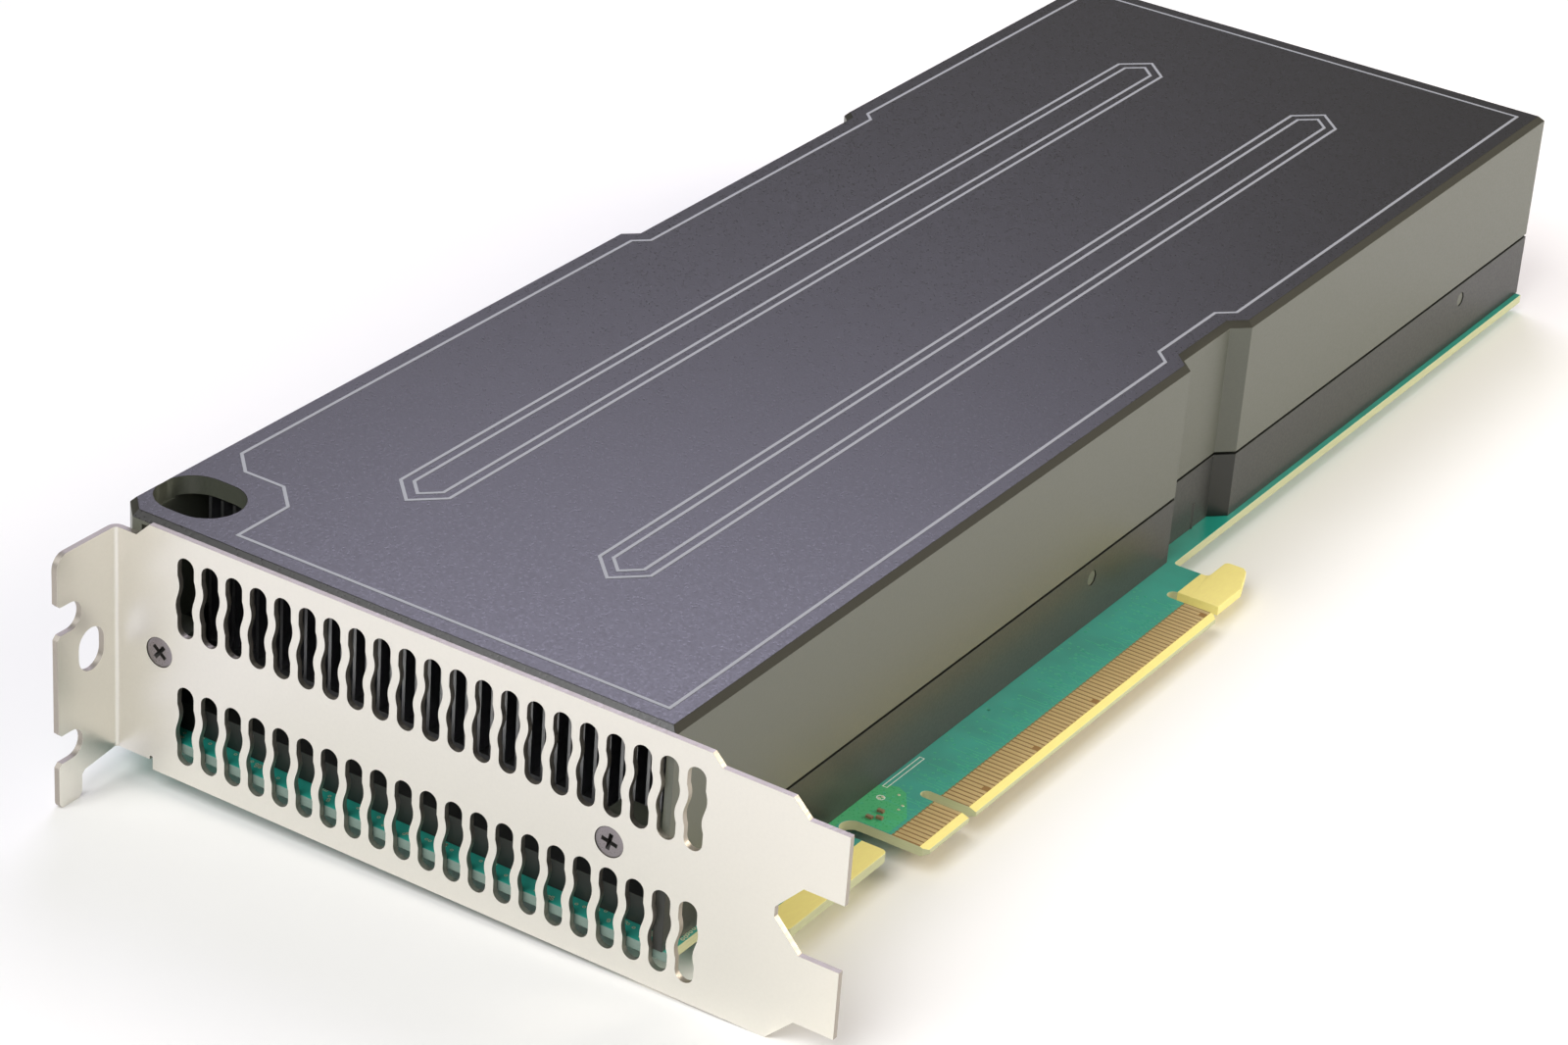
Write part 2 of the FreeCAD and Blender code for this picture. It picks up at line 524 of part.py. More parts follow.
def io_bracket():
    """The folded steel bracket with its two rows of wavy vents."""
    vents = [vent(VENT_FIRST + number * VENT_PITCH, row) for row in VENT_ROWS
             for number in range(VENT_COUNT)]
    screw_holes = [flat_screw(BRACKET_SCREW, (FACE, y, BRACKET_MIDDLE), (1, 0, 0), SCREW_CLEARANCE)
                   for y in BRACKET_SCREW_ROWS]
    sheet = bracket_sheet().cut(vents + screw_holes)
    return joined([sheet, bracket_bend(), bracket_flange()])


def bracket_screws():
    """The two flush screws that hold the bracket to the cover's lugs."""
    return Part.makeCompound([flat_screw(BRACKET_SCREW, (FACE, y, BRACKET_MIDDLE), (1, 0, 0))
                              for y in BRACKET_SCREW_ROWS])


# ---- Housing -----------------------------------------------------------------------------------------
def low_side():
    """Plan of the housing's side beside the edge connector, from the bracket to the far end."""
    start, depth = STEM_RIGHT - LOW_RECESS_LEAD, LOW_RECESS_DEPTH
    end = start + depth + LOW_RECESS_FLAT
    return [(HOUSING_START, HOUSING_LOW), (start, HOUSING_LOW), (start + depth, HOUSING_LOW + depth),
            (end, HOUSING_LOW + depth), (end + depth, HOUSING_LOW), (HOUSING_END, HOUSING_LOW)]


def high_side():
    """Plan of the housing's side along the board's top edge, from the bracket to the far end."""
    start, depth = along(HIGH_RECESS_START), HIGH_RECESS_DEPTH
    end = start + depth + HIGH_RECESS_FLAT
    rise = depth - HIGH_FAR_SETBACK
    far = HOUSING_HIGH - HIGH_FAR_SETBACK
    cut_start = HOUSING_HIGH - CORNER_CUT + SHEET
    return [(HOUSING_START, cut_start), (FACE + CORNER_CUT, HOUSING_HIGH), (start, HOUSING_HIGH),
            (start + depth, HOUSING_HIGH - depth), (end, HOUSING_HIGH - depth), (end + rise, far),
            (HOUSING_END, far)]


def shifted(path, distance):
    """An open path moved sideways, to the left of its direction, keeping its corners sharp."""
    points = [FreeCAD.Vector(x, y, 0) for x, y in path]
    ways = [(b - a).normalize() for a, b in zip(points, points[1:])]
    lefts = [FreeCAD.Vector(-way.y, way.x, 0) for way in ways]
    moved = [points[0] + lefts[0] * distance]
    for point, before, after in zip(points[1:], lefts, lefts[1:]):
        moved.append(point + (before + after) * (distance / (1 + before.dot(after))))
    moved.append(points[-1] + lefts[-1] * distance)
    return [(point.x, point.y) for point in moved]


def run_to(path, start_x, end_x):
    """A path with its first and last stretches lengthened or cut back to the given X."""
    (x0, y0), (x1, y1) = path[0], path[1]
    (x2, y2), (x3, y3) = path[-2], path[-1]
    first = (start_x, y0 + (start_x - x0) * (y1 - y0) / (x1 - x0))
    last = (end_x, y3 + (end_x - x3) * (y3 - y2) / (x3 - x2))
    return [first] + path[1:-1] + [last]


def housing_prism(inset, past, low, high):
    """The housing's plan as a solid, its long sides moved in and its ends moved out."""
    ends = (HOUSING_START - past, HOUSING_END + past)
    lower = run_to(shifted(low_side(), inset), *ends)
    upper = run_to(shifted(high_side(), -inset), *ends)
    return plate(lower + upper[::-1], "XY", low, high - low)


def ear_places():
    """Where the cover's ears hang: X, the frame's outer face in Y and the way in."""
    places = []
    for x in (along(NEAR_EAR), HOUSING_END - FAR_EAR):
        far = x > along(HIGH_RECESS_START)
        places.append((x, HOUSING_LOW, 1))
        places.append((x, HOUSING_HIGH - (HIGH_FAR_SETBACK if far else 0.0), -1))
    return places


def cover_ears():
    """The ears that hang inside the frame's walls, each with the button that snaps into the wall."""
    ears = []
    root_top = SEAM_TOP + EAR_ROOT
    for x, y, way in ear_places():
        left, right = x - EAR_WIDTH / 2, x + EAR_WIDTH / 2
        inner = y + way * FRAME_WALL
        deep = inner + way * EAR_THICKNESS
        hanging = sorted((inner, deep))
        root = sorted((y + way * COVER_WALL / 2, deep))
        ears.append(box((left, hanging[0], FRAME_HEIGHT - EAR_DROP), (right, hanging[1], root_top)))
        ears.append(box((left, root[0], SEAM_TOP), (right, root[1], root_top)))
        ears.append(small_rod(BUTTON_RADIUS, (x, inner, BUTTON_HEIGHT), (0, -way, 0),
                              FRAME_WALL - BUTTON_SINK))
    return ears


def bracket_lugs():
    """Lugs that stand in from the cover's long walls, to which the bracket is screwed."""
    end = HOUSING_START + LUG_DEPTH
    low, high = BRACKET_MIDDLE - LUG_HALF, BRACKET_MIDDLE + LUG_HALF
    near, far = BRACKET_SCREW_ROWS
    lugs = [box((HOUSING_START, HOUSING_LOW, low), (end, near + LUG_HALF, high)),
            box((HOUSING_START, far - LUG_HALF, low), (end, HOUSING_HIGH, high))]
    inside = housing_prism(COVER_WALL / 2, 0.0, low, high)
    return [lug.common(inside) for lug in lugs]


def window_middle():
    """Centre of the obround window in the roof."""
    return (along(WINDOW_MIDDLE[0]), HOUSING_HIGH - WINDOW_MIDDLE[1])


def cover():
    """The upper housing: a roof with a rimmed window, two stepped long walls and open ends."""
    shell = housing_prism(0.0, 0.0, SEAM_TOP, COVER_TOP)
    rim_edges = [edge for edge in shell.Edges if edge.BoundBox.ZMin > COVER_TOP - COVER_EDGE]
    shell = shell.makeChamfer(COVER_EDGE, rim_edges)
    shell = shell.cut(housing_prism(COVER_WALL, PAST, SEAM_TOP - PAST, ROOF_UNDER))
    lip = housing_prism(SEAM_DEPTH, 0.0, FRAME_HEIGHT, SEAM_TOP + EAR_ROOT).cut(
        housing_prism(COVER_WALL, PAST, FRAME_HEIGHT - PAST, SEAM_TOP + EAR_ROOT + PAST))
    rim_size = (WINDOW[0] + 2 * WINDOW_RIM, WINDOW[1] + 2 * WINDOW_RIM)
    rim = obround(rim_size, window_middle(), "XY", COVER_TOP - WINDOW_RIM_DEPTH,
                  WINDOW_RIM_DEPTH - COVER_ROOF / 2)
    rim = rim.common(housing_prism(COVER_WALL / 4, 0.0, FRAME_HEIGHT, COVER_TOP))
    body = joined([shell, lip, rim] + bracket_lugs() + cover_ears())
    window = obround(WINDOW, window_middle(), "XY", COVER_TOP - WINDOW_RIM_DEPTH - CLEARANCE,
                     WINDOW_RIM_DEPTH + PAST)
    screw_holes = [flat_screw(BRACKET_SCREW, (FACE, y, BRACKET_MIDDLE), (1, 0, 0), SCREW_CLEARANCE)
                   for y in BRACKET_SCREW_ROWS]
    return body.cut([window] + screw_holes)


def base_frame():
    """The lower housing: long walls, a sill by the bracket and a floor plate that cools what lies under."""
    walls = housing_prism(0.0, 0.0, 0, FRAME_HEIGHT).cut(
        housing_prism(FRAME_WALL, PAST, -PAST, FRAME_HEIGHT + PAST))
    sill_start = HOUSING_START + SILL_SETBACK
    sill_end = sill_start + SILL_THICKNESS
    floor = housing_prism(FRAME_WALL / 2, 0.0, 0, FLOOR_TOP).common(
        box((sill_start, HOUSING_LOW, 0), (SINKS_END, HOUSING_HIGH, FLOOR_TOP)))
    floor = floor.cut(box((sill_end, HOUSING_LOW - PAST, -PAST),
                          (SINKS_END + PAST, HOUSING_HIGH + PAST, FLOOR_BOTTOM)))
    bosses = [small_rod(BOSS_RADIUS, (*spot, 0), (0, 0, 1), FLOOR_TOP) for spot in board_screw_spots()]
    lug_start = HOUSING_END - EXTENDER_LUG_DEPTH
    half = EXTENDER_SCREW_INSET / 2
    near, far = EXTENDER_ROWS
    inside = housing_prism(FRAME_WALL / 2, 0.0, 0, FRAME_HEIGHT)
    lugs = [box((lug_start, HOUSING_LOW, 0), (HOUSING_END, near + half, FRAME_HEIGHT)),
            box((lug_start, far - half, 0), (HOUSING_END, HOUSING_HIGH, FRAME_HEIGHT))]
    frame = joined([walls, floor] + bosses + [lug.common(inside) for lug in lugs])

    cuts = [screw_hole(BOARD_SCREW, spot, -PAST, FLOOR_TOP + PAST) for spot in board_screw_spots()]
    opening = CONTACT_PLATE + 2 * OPENING_CLEARANCE
    notch = 2 * (HEAT_SINK_SCREW["shank"] + OPENING_CLEARANCE)
    row = (INDUCTOR_COUNT - 1) * INDUCTOR_PITCH + INDUCTOR[1] + 2 * OPENING_CLEARANCE
    for name in SINK_STARTS:
        x, y = module_middle(name)
        cuts.append(block((opening, opening, FRAME_HEIGHT), (x, y), 0))
        cuts += [block((notch, notch, FRAME_HEIGHT), spot, 0) for spot in post_spots(name)]
        cuts.append(block((INDUCTOR[0] + 2 * OPENING_CLEARANCE, row, FRAME_HEIGHT),
                          (x + INDUCTOR_OFFSET, y), 0))
    cuts += [rod(EXTENDER_HOLE_RADIUS, (HOUSING_END - EXTENDER_HOLE_DEPTH, y, EXTENDER_HEIGHT),
                 (1, 0, 0), EXTENDER_HOLE_DEPTH + PAST) for y in EXTENDER_ROWS]
    cuts += [small_rod(BUTTON_RADIUS + SCREW_CLEARANCE, (x, y - way * PAST, BUTTON_HEIGHT), (0, way, 0),
                       FRAME_WALL + 2 * PAST) for x, y, way in ear_places()]
    return frame.cut(cuts)


# ---- Printed lines -----------------------------------------------------------------------------------
def stripe(points):
    """A printed line of one width, along a closed loop that turns anticlockwise."""
    face = Part.Face(Part.makePolygon([FreeCAD.Vector(x, y, COVER_TOP) for x, y in points + points[:1]]))
    inner = face.makeOffset2D(-STRIPE_WIDTH, join=2)
    return face.cut(inner).extrude(FreeCAD.Vector(0, 0, STRIPE_THICKNESS))


def border_loop():
    """The line that follows the roof's outline and passes the window on its inner side."""
    start, end = HOUSING_START + BORDER_END_INSET, HOUSING_END - BORDER_END_INSET
    lower = run_to(shifted(low_side(), BORDER_INSET), start, end)
    upper = run_to(shifted(high_side(), -BORDER_INSET)[1:], start, end)
    x, y = window_middle()
    side = x + WINDOW[0] / 2 + WINDOW_BYPASS
    below = y - WINDOW[1] / 2 - WINDOW_BYPASS
    top = upper[0][1]
    bevel = WINDOW_BYPASS
    bypass = [(side + bevel, top), (side, top - bevel), (side, below + bevel), (side - bevel, below),
              (start, below)]
    return lower + upper[:0:-1] + bypass


def lane_loops(middle_y):
    """Two nested long loops with pointed ends."""
    loops = []
    middle_x = (HOUSING_START + HOUSING_END) / 2
    for inset in (0.0, LANE_GAP):
        tip, side = LANE_LENGTH / 2 - inset * 1.5, LANE_WIDTH / 2 - inset
        shoulder = tip - side
        loops.append([(middle_x - shoulder, middle_y - side), (middle_x + shoulder, middle_y - side),
                      (middle_x + tip, middle_y), (middle_x + shoulder, middle_y + side),
                      (middle_x - shoulder, middle_y + side), (middle_x - tip, middle_y)])
    return loops


def roof_stripes():
    """The printed lines on the roof: a border and two lanes of double lines."""
    loops = [border_loop()]
    for way in (-1, 1):
        loops += lane_loops(HOUSING_MIDDLE + way * LANE_OFFSET)
    return Part.makeCompound([stripe(loop) for loop in loops])


# ---- Processors, memory and power parts --------------------------------------------------------------
def module_middle(name):
    """Centre of one processor in plan: what stands round it is centred under its heat sink."""
    before, after = MODULE_REACH
    spare = SINK_LENGTH - before - after
    return (SINK_STARTS[name] + spare / 2 + before, HOUSING_MIDDLE)


def post_spots(name):
    """Where the four heat-sink screws stand round one processor."""
    x, y = module_middle(name)
    return [(x + a * POST_OFFSET, y + b * POST_OFFSET) for a in (-1, 1) for b in (-1, 1)]


def board_screw_spots():
    """Where the base frame is screwed to the board."""
    return [(module_middle(name)[0] + offset, y) for name in SINK_STARTS
            for offset in BOARD_SCREW_OFFSETS for y in BOARD_SCREW_ROWS]


def memory_rows(name):
    """The rows of memory round one processor: each row's middle in plan and its two chips' size."""
    x, y = module_middle(name)
    long, short, height = MEMORY_CHIP
    rows = []
    for way in (-1, 1):
        rows.append(((x + way * MEMORY_RING, y), (long, short, height)))
        rows.append(((x, y + way * MEMORY_RING), (short, long, height)))
    return rows


def memory_spots(name):
    """The memory chips round one processor: centre in plan, and size with its longer side outwards."""
    spots = []
    for (x, y), size in memory_rows(name):
        along_y = size[0] > size[1]
        for step in (-MEMORY_STEP, MEMORY_STEP):
            spots.append(((x, y + step) if along_y else (x + step, y), size))
    return spots


def memory_chips(floor):
    """All the memory chips of one side of the board."""
    return Part.makeCompound([block(size, spot, floor) for name in SINK_STARTS
                              for spot, size in memory_spots(name)])


def power_row(offset):
    """The places of one row of power parts beside each processor."""
    first = -(INDUCTOR_COUNT - 1) / 2 * INDUCTOR_PITCH
    middles = [module_middle(name) for name in SINK_STARTS]
    return [(x + offset, y + first + number * INDUCTOR_PITCH)
            for x, y in middles for number in range(INDUCTOR_COUNT)]


def inductors():
    """Rows of moulded inductors with bevelled upper edges."""
    parts = []
    for spot in power_row(INDUCTOR_OFFSET):
        part = block(INDUCTOR, spot, 0)
        top = [edge for edge in part.Edges if edge.BoundBox.ZMin > INDUCTOR[2] - INDUCTOR_EDGE]
        parts.append(part.makeChamfer(INDUCTOR_EDGE, top))
    return Part.makeCompound(parts)


def bridge_spot():
    """Centre of the bus bridge chip: between the front power row and the rear posts, past the bosses."""
    front, rear = (module_middle(name)[0] for name in SINK_STARTS)
    left = front + POWER_STAGE_OFFSET + POWER_STAGE[0] / 2
    right = rear - POST_OFFSET - HEAT_SINK_SCREW["shank"]
    low = min(BOARD_SCREW_ROWS) + BOSS_RADIUS + BRIDGE_CLEARANCE
    return ((left + right) / 2, low + BRIDGE_CHIP[1] / 2)


def thermal_pads():
    """Strips of soft pad between the rows of hot chips and the frame's floor."""
    pads = []
    for name in SINK_STARTS:
        for spot, (width, depth, height) in memory_rows(name):
            strip = (width, depth + 2 * MEMORY_STEP) if width > depth else (width + 2 * MEMORY_STEP, depth)
            pads.append(block((*strip, FLOOR_BOTTOM - height), spot, height))
        x, y = module_middle(name)
        row = (INDUCTOR_COUNT - 1) * INDUCTOR_PITCH + POWER_STAGE[1]
        pads.append(block((POWER_STAGE[0], row, FLOOR_BOTTOM - POWER_STAGE[2]),
                          (x + POWER_STAGE_OFFSET, y), POWER_STAGE[2]))
    pads.append(block((*BRIDGE_CHIP[:2], FLOOR_BOTTOM - BRIDGE_CHIP[2]), bridge_spot(), BRIDGE_CHIP[2]))
    return Part.makeCompound(pads)


def heat_sink(name):
    """A base plate with thin upright fins along the air flow."""
    width = (FIN_COUNT - 1) * FIN_PITCH + FIN_THICKNESS
    first = HOUSING_MIDDLE - width / 2
    steps = [(first + width, SINK_UNDER), (first, SINK_UNDER)]
    for number in range(FIN_COUNT):
        left = first + number * FIN_PITCH
        right = left + FIN_THICKNESS
        steps += [(left, SINK_FLOOR), (left, FIN_TOP), (right, FIN_TOP), (right, SINK_FLOOR)]
    comb = plate(steps, "YZ", SINK_STARTS[name], SINK_LENGTH)
    top = SINK_UNDER + HEAT_SINK_BITE + CLEARANCE
    return comb.cut([screw_hole(HEAT_SINK_SCREW, spot, -PAST, top) for spot in post_spots(name)])


def backing_plate(name):
    """The sprung cross on the solder side that shares the clamping load."""
    middle = module_middle(name)
    under = BOARD_UNDER - BACKING_PLATE
    reach = 2 * (POST_OFFSET * 2 ** 0.5 + BACKING_ARM / 2)
    arms = []
    for angle in (45, -45):
        arm = block((reach, BACKING_ARM, BACKING_PLATE), (0, 0), 0)
        turn = FreeCAD.Rotation(FreeCAD.Vector(0, 0, 1), angle)
        arm.Placement = FreeCAD.Placement(FreeCAD.Vector(*middle, under), turn)
        arms.append(arm)
    ring = block((BACKING_RING, BACKING_RING, BACKING_PLATE), middle, under)
    window = block((BACKING_WINDOW, BACKING_WINDOW, BACKING_PLATE + 2 * PAST), middle, under - PAST)
    holes = [screw_hole(HEAT_SINK_SCREW, spot, under - PAST, PAST) for spot in post_spots(name)]
    return joined([ring] + arms).cut([window] + holes)


def heat_sink_screws(name):
    """The four screws that pull one heat sink down onto its processor."""
    return Part.makeCompound([board_side_screw(HEAT_SINK_SCREW, spot, BOARD_UNDER - BACKING_PLATE,
                                               SINK_UNDER + HEAT_SINK_BITE) for spot in post_spots(name)])


def board_screws():
    """The screws that hold the base frame to the board."""
    return Part.makeCompound([board_side_screw(BOARD_SCREW, spot, BOARD_UNDER, FLOOR_TOP - CLEARANCE)
                              for spot in board_screw_spots()])


def decoupling_capacitors():
    """Small capacitors on the solder side, inside the windows of the backing plates."""
    first = [-(count - 1) / 2 * DECOUPLER_PITCH for count in (DECOUPLER_COLUMNS, DECOUPLER_ROWS)]
    middles = [module_middle(name) for name in SINK_STARTS]
    return Part.makeCompound([block(DECOUPLER, (x + first[0] + i * DECOUPLER_PITCH,
                                                y + first[1] + j * DECOUPLER_PITCH),
                                    BOARD_UNDER - DECOUPLER[2])
                              for x, y in middles for i in range(DECOUPLER_COLUMNS)
                              for j in range(DECOUPLER_ROWS)])


def bulk_capacitors():
    """A row of polymer capacitors in the air inlet."""
    x, first = HOUSING_END - BULK_CAPACITOR_END, HOUSING_LOW + BULK_CAPACITOR_INSET
    places = [(x, first + number * BULK_CAPACITOR_PITCH, 0) for number in range(BULK_CAPACITOR_COUNT)]
    return Part.makeCompound([small_rod(BULK_CAPACITOR_RADIUS, place, (0, 0, 1), BULK_CAPACITOR_HEIGHT)
                              for place in places])


# ---- Power connector ---------------------------------------------------------------------------------
def power_ways():
    """The middles of the connector's cavities: Y, Z and row."""
    left = POWER_MIDDLE - (POWER_COLUMNS - 1) / 2 * POWER_PITCH
    bottom = POWER_WALL + POWER_PITCH / 2
    return [(left + column * POWER_PITCH, bottom + row * POWER_PITCH, row)
            for row in range(POWER_ROWS) for column in range(POWER_COLUMNS)]


def power_connector_housing():
    """The power inlet's plastic body, with one cavity for each pin and a catch for the plug's latch."""
    back = BOARD_END - POWER_DEPTH
    body = box((back, POWER_MIDDLE - POWER_WIDTH / 2, 0),
               (BOARD_END, POWER_MIDDLE + POWER_WIDTH / 2, POWER_HEIGHT))
    length, width, height = LATCH
    half = width / 2
    catch = plate([(back + POWER_BACK, POWER_HEIGHT), (back + POWER_BACK + length, POWER_HEIGHT),
                   (back + POWER_BACK + length / 2, POWER_HEIGHT + height)],
                  "XZ", POWER_MIDDLE - half, width)
    cuts = []
    for y, z, _ in power_ways():
        half = POWER_CAVITY / 2
        cuts.append(box((back + POWER_BACK, y - half, z - half), (BOARD_END + PAST, y + half, z + half)))
        half = PIN_SIZE / 2 + SCREW_CLEARANCE
        cuts.append(box((back - PAST, y - half, z - half), (back + POWER_BACK + PAST, y + half, z + half)))
    return joined([body, catch]).cut(cuts)


def power_connector_pins():
    """The pins, each running back out of the housing and down to the board."""
    back = BOARD_END - POWER_DEPTH
    tip = back + POWER_BACK + PIN_REACH
    half = PIN_SIZE / 2
    pins = []
    for y, z, row in power_ways():
        x = back - PIN_SIZE - row * PIN_ROW_STEP
        bar = box((x - half, y - half, z - half), (tip, y + half, z + half))
        tail = box((x - half, y - half, 0), (x + half, y + half, z + half))
        pins.append(joined([bar, tail]))
    return Part.makeCompound(pins)


# ---- Writing the pieces ------------------------------------------------------------------------------
def pieces():
    """Every piece of the card, by name."""
    made = {
        "circuit_board": circuit_board(),
        "contacts_component_side": contacts(1),
        "contacts_solder_side": contacts(-1),
        "edge_resistors": Part.makeCompound([block(EDGE_PART_SIZE, spot, 0) for spot in EDGE_PARTS]),
        "io_bracket": io_bracket(),
        "bracket_screws": bracket_screws(),
        "cover": cover(),
        "roof_stripes": roof_stripes(),
        "base_frame": base_frame(),
        "board_screws": board_screws(),
        "memory_chips_component_side": memory_chips(0),
        "memory_chips_solder_side": memory_chips(BOARD_UNDER - MEMORY_CHIP[2]),
        "thermal_pads": thermal_pads(),
        "bridge_chip": block(BRIDGE_CHIP, bridge_spot(), 0),
        "inductors": inductors(),
        "power_stages": Part.makeCompound([block(POWER_STAGE, spot, 0)
                                           for spot in power_row(POWER_STAGE_OFFSET)]),
        "decoupling_capacitors": decoupling_capacitors(),
        "bulk_capacitors": bulk_capacitors(),
        "power_connector_housing": power_connector_housing(),
        "power_connector_pins": power_connector_pins(),
    }
    for name in SINK_STARTS:
        middle = module_middle(name)
        made[name + "_processor_substrate"] = block(SUBSTRATE, middle, 0)
        made[name + "_processor_die"] = block(DIE, middle, SUBSTRATE[2])
        made[name + "_contact_plate"] = block((CONTACT_PLATE, CONTACT_PLATE, SINK_UNDER - DIE_TOP),
                                              middle, DIE_TOP)
        made[name + "_heat_sink"] = heat_sink(name)
        made[name + "_backing_plate"] = backing_plate(name)
        made[name + "_heat_sink_screws"] = heat_sink_screws(name)
    return made


os.makedirs("parts", exist_ok=True)
for node, shape in pieces().items():
    shape.exportStep(f"parts/{node}.step")
    print(f"{node}: {len(shape.Solids)} solids, {shape.Volume:.1f} mm3, valid {shape.isValid()}")
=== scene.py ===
"""A passive dual-slot accelerator card on a pale studio floor.

The card's construction is loaded as the frame. This script dresses it: finishes for each piece of the
frame, and finer pieces where the frame keeps a plain form, such as the bracket's vents and the screws.
Lengths are in millimetres until they reach a mesh, in the frame's own axes: X along the card away from
the bracket, Y from the contacts to the card's top edge, Z out through the cover.
"""
import json
import logging
import random
from dataclasses import dataclass
from enum import Enum
from math import cos, pi, radians, sin

import bmesh
import bpy
from bmesh.types import BMEdge, BMesh, BMFace, BMVert
from mathutils import Matrix, Vector


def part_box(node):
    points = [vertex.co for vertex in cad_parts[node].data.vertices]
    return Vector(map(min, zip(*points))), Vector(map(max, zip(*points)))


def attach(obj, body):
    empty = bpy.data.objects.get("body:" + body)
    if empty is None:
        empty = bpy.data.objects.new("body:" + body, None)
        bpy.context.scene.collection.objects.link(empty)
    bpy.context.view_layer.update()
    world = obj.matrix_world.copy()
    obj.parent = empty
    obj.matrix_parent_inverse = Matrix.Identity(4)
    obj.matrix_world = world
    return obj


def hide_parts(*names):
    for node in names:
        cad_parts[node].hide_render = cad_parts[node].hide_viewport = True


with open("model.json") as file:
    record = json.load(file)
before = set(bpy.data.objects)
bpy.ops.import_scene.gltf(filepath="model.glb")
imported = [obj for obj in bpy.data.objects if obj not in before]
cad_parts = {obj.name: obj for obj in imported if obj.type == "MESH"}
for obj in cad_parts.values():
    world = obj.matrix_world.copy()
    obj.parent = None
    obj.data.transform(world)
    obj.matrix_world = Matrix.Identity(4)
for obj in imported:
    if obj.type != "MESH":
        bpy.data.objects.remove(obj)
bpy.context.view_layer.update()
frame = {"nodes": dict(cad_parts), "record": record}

log = logging.getLogger("accelerator_card")
Spot = tuple[float, float]
Point = tuple[float, float, float]


# ---- Units, colours and nodes ----
def metres(*lengths: float) -> Vector:
    """Gives a place or size in millimetres as a vector in metres."""
    return Vector(lengths) / 1000


def linear(hex_colour: str) -> tuple[float, float, float, float]:
    """Turns an sRGB hex colour into the linear colour that a socket takes.

    Args:
        hex_colour: Six hex digits, with or without a leading #.

    Returns:
        Linear red, green and blue, and an alpha of 1.
    """
    digits = hex_colour.lstrip("#")
    channels = [int(digits[i:i + 2], 16) / 255 for i in (0, 2, 4)]
    turned = [c / 12.92 if c <= 0.04045 else ((c + 0.055) / 1.055) ** 2.4 for c in channels]
    return (*turned, 1.0)


def add_node(tree: bpy.types.NodeTree, kind: str, values: dict | None = None,
             links: dict | None = None, **settings: object) -> bpy.types.Node:
    """Adds one shader node with its settings, socket values and links.

    Args:
        tree: The node tree that the node joins.
        kind: The node's type, such as "ShaderNodeTexNoise".
        values: Values for input sockets, by name or number.
        links: Output sockets to link into input sockets, by name or number.
        settings: Properties of the node itself.

    Returns:
        The new node.
    """
    node = tree.nodes.new(kind)
    for name, value in settings.items():
        setattr(node, name, value)
    for name, value in (values or {}).items():
        node.inputs[name].default_value = value
    for name, socket in (links or {}).items():
        tree.links.new(socket, node.inputs[name])
    return node


# ---- Finishes ----
PLAIN_IOR = 1.5   # index of refraction of whatever is not metal


@dataclass(frozen=True)
class Grain:
    """A fine unevenness of a surface.

    Attributes:
        size: Width of one grain in millimetres.
        depth: Height of the grain in millimetres.
        roughness: How far the roughness swings with the grain.
        shade: How far the colour swings with the grain.
        stretch: How many times longer the grain is along X, Y and Z.
    """

    size: float
    depth: float = 0.0
    roughness: float = 0.0
    shade: float = 0.0
    stretch: Point = (1.0, 1.0, 1.0)


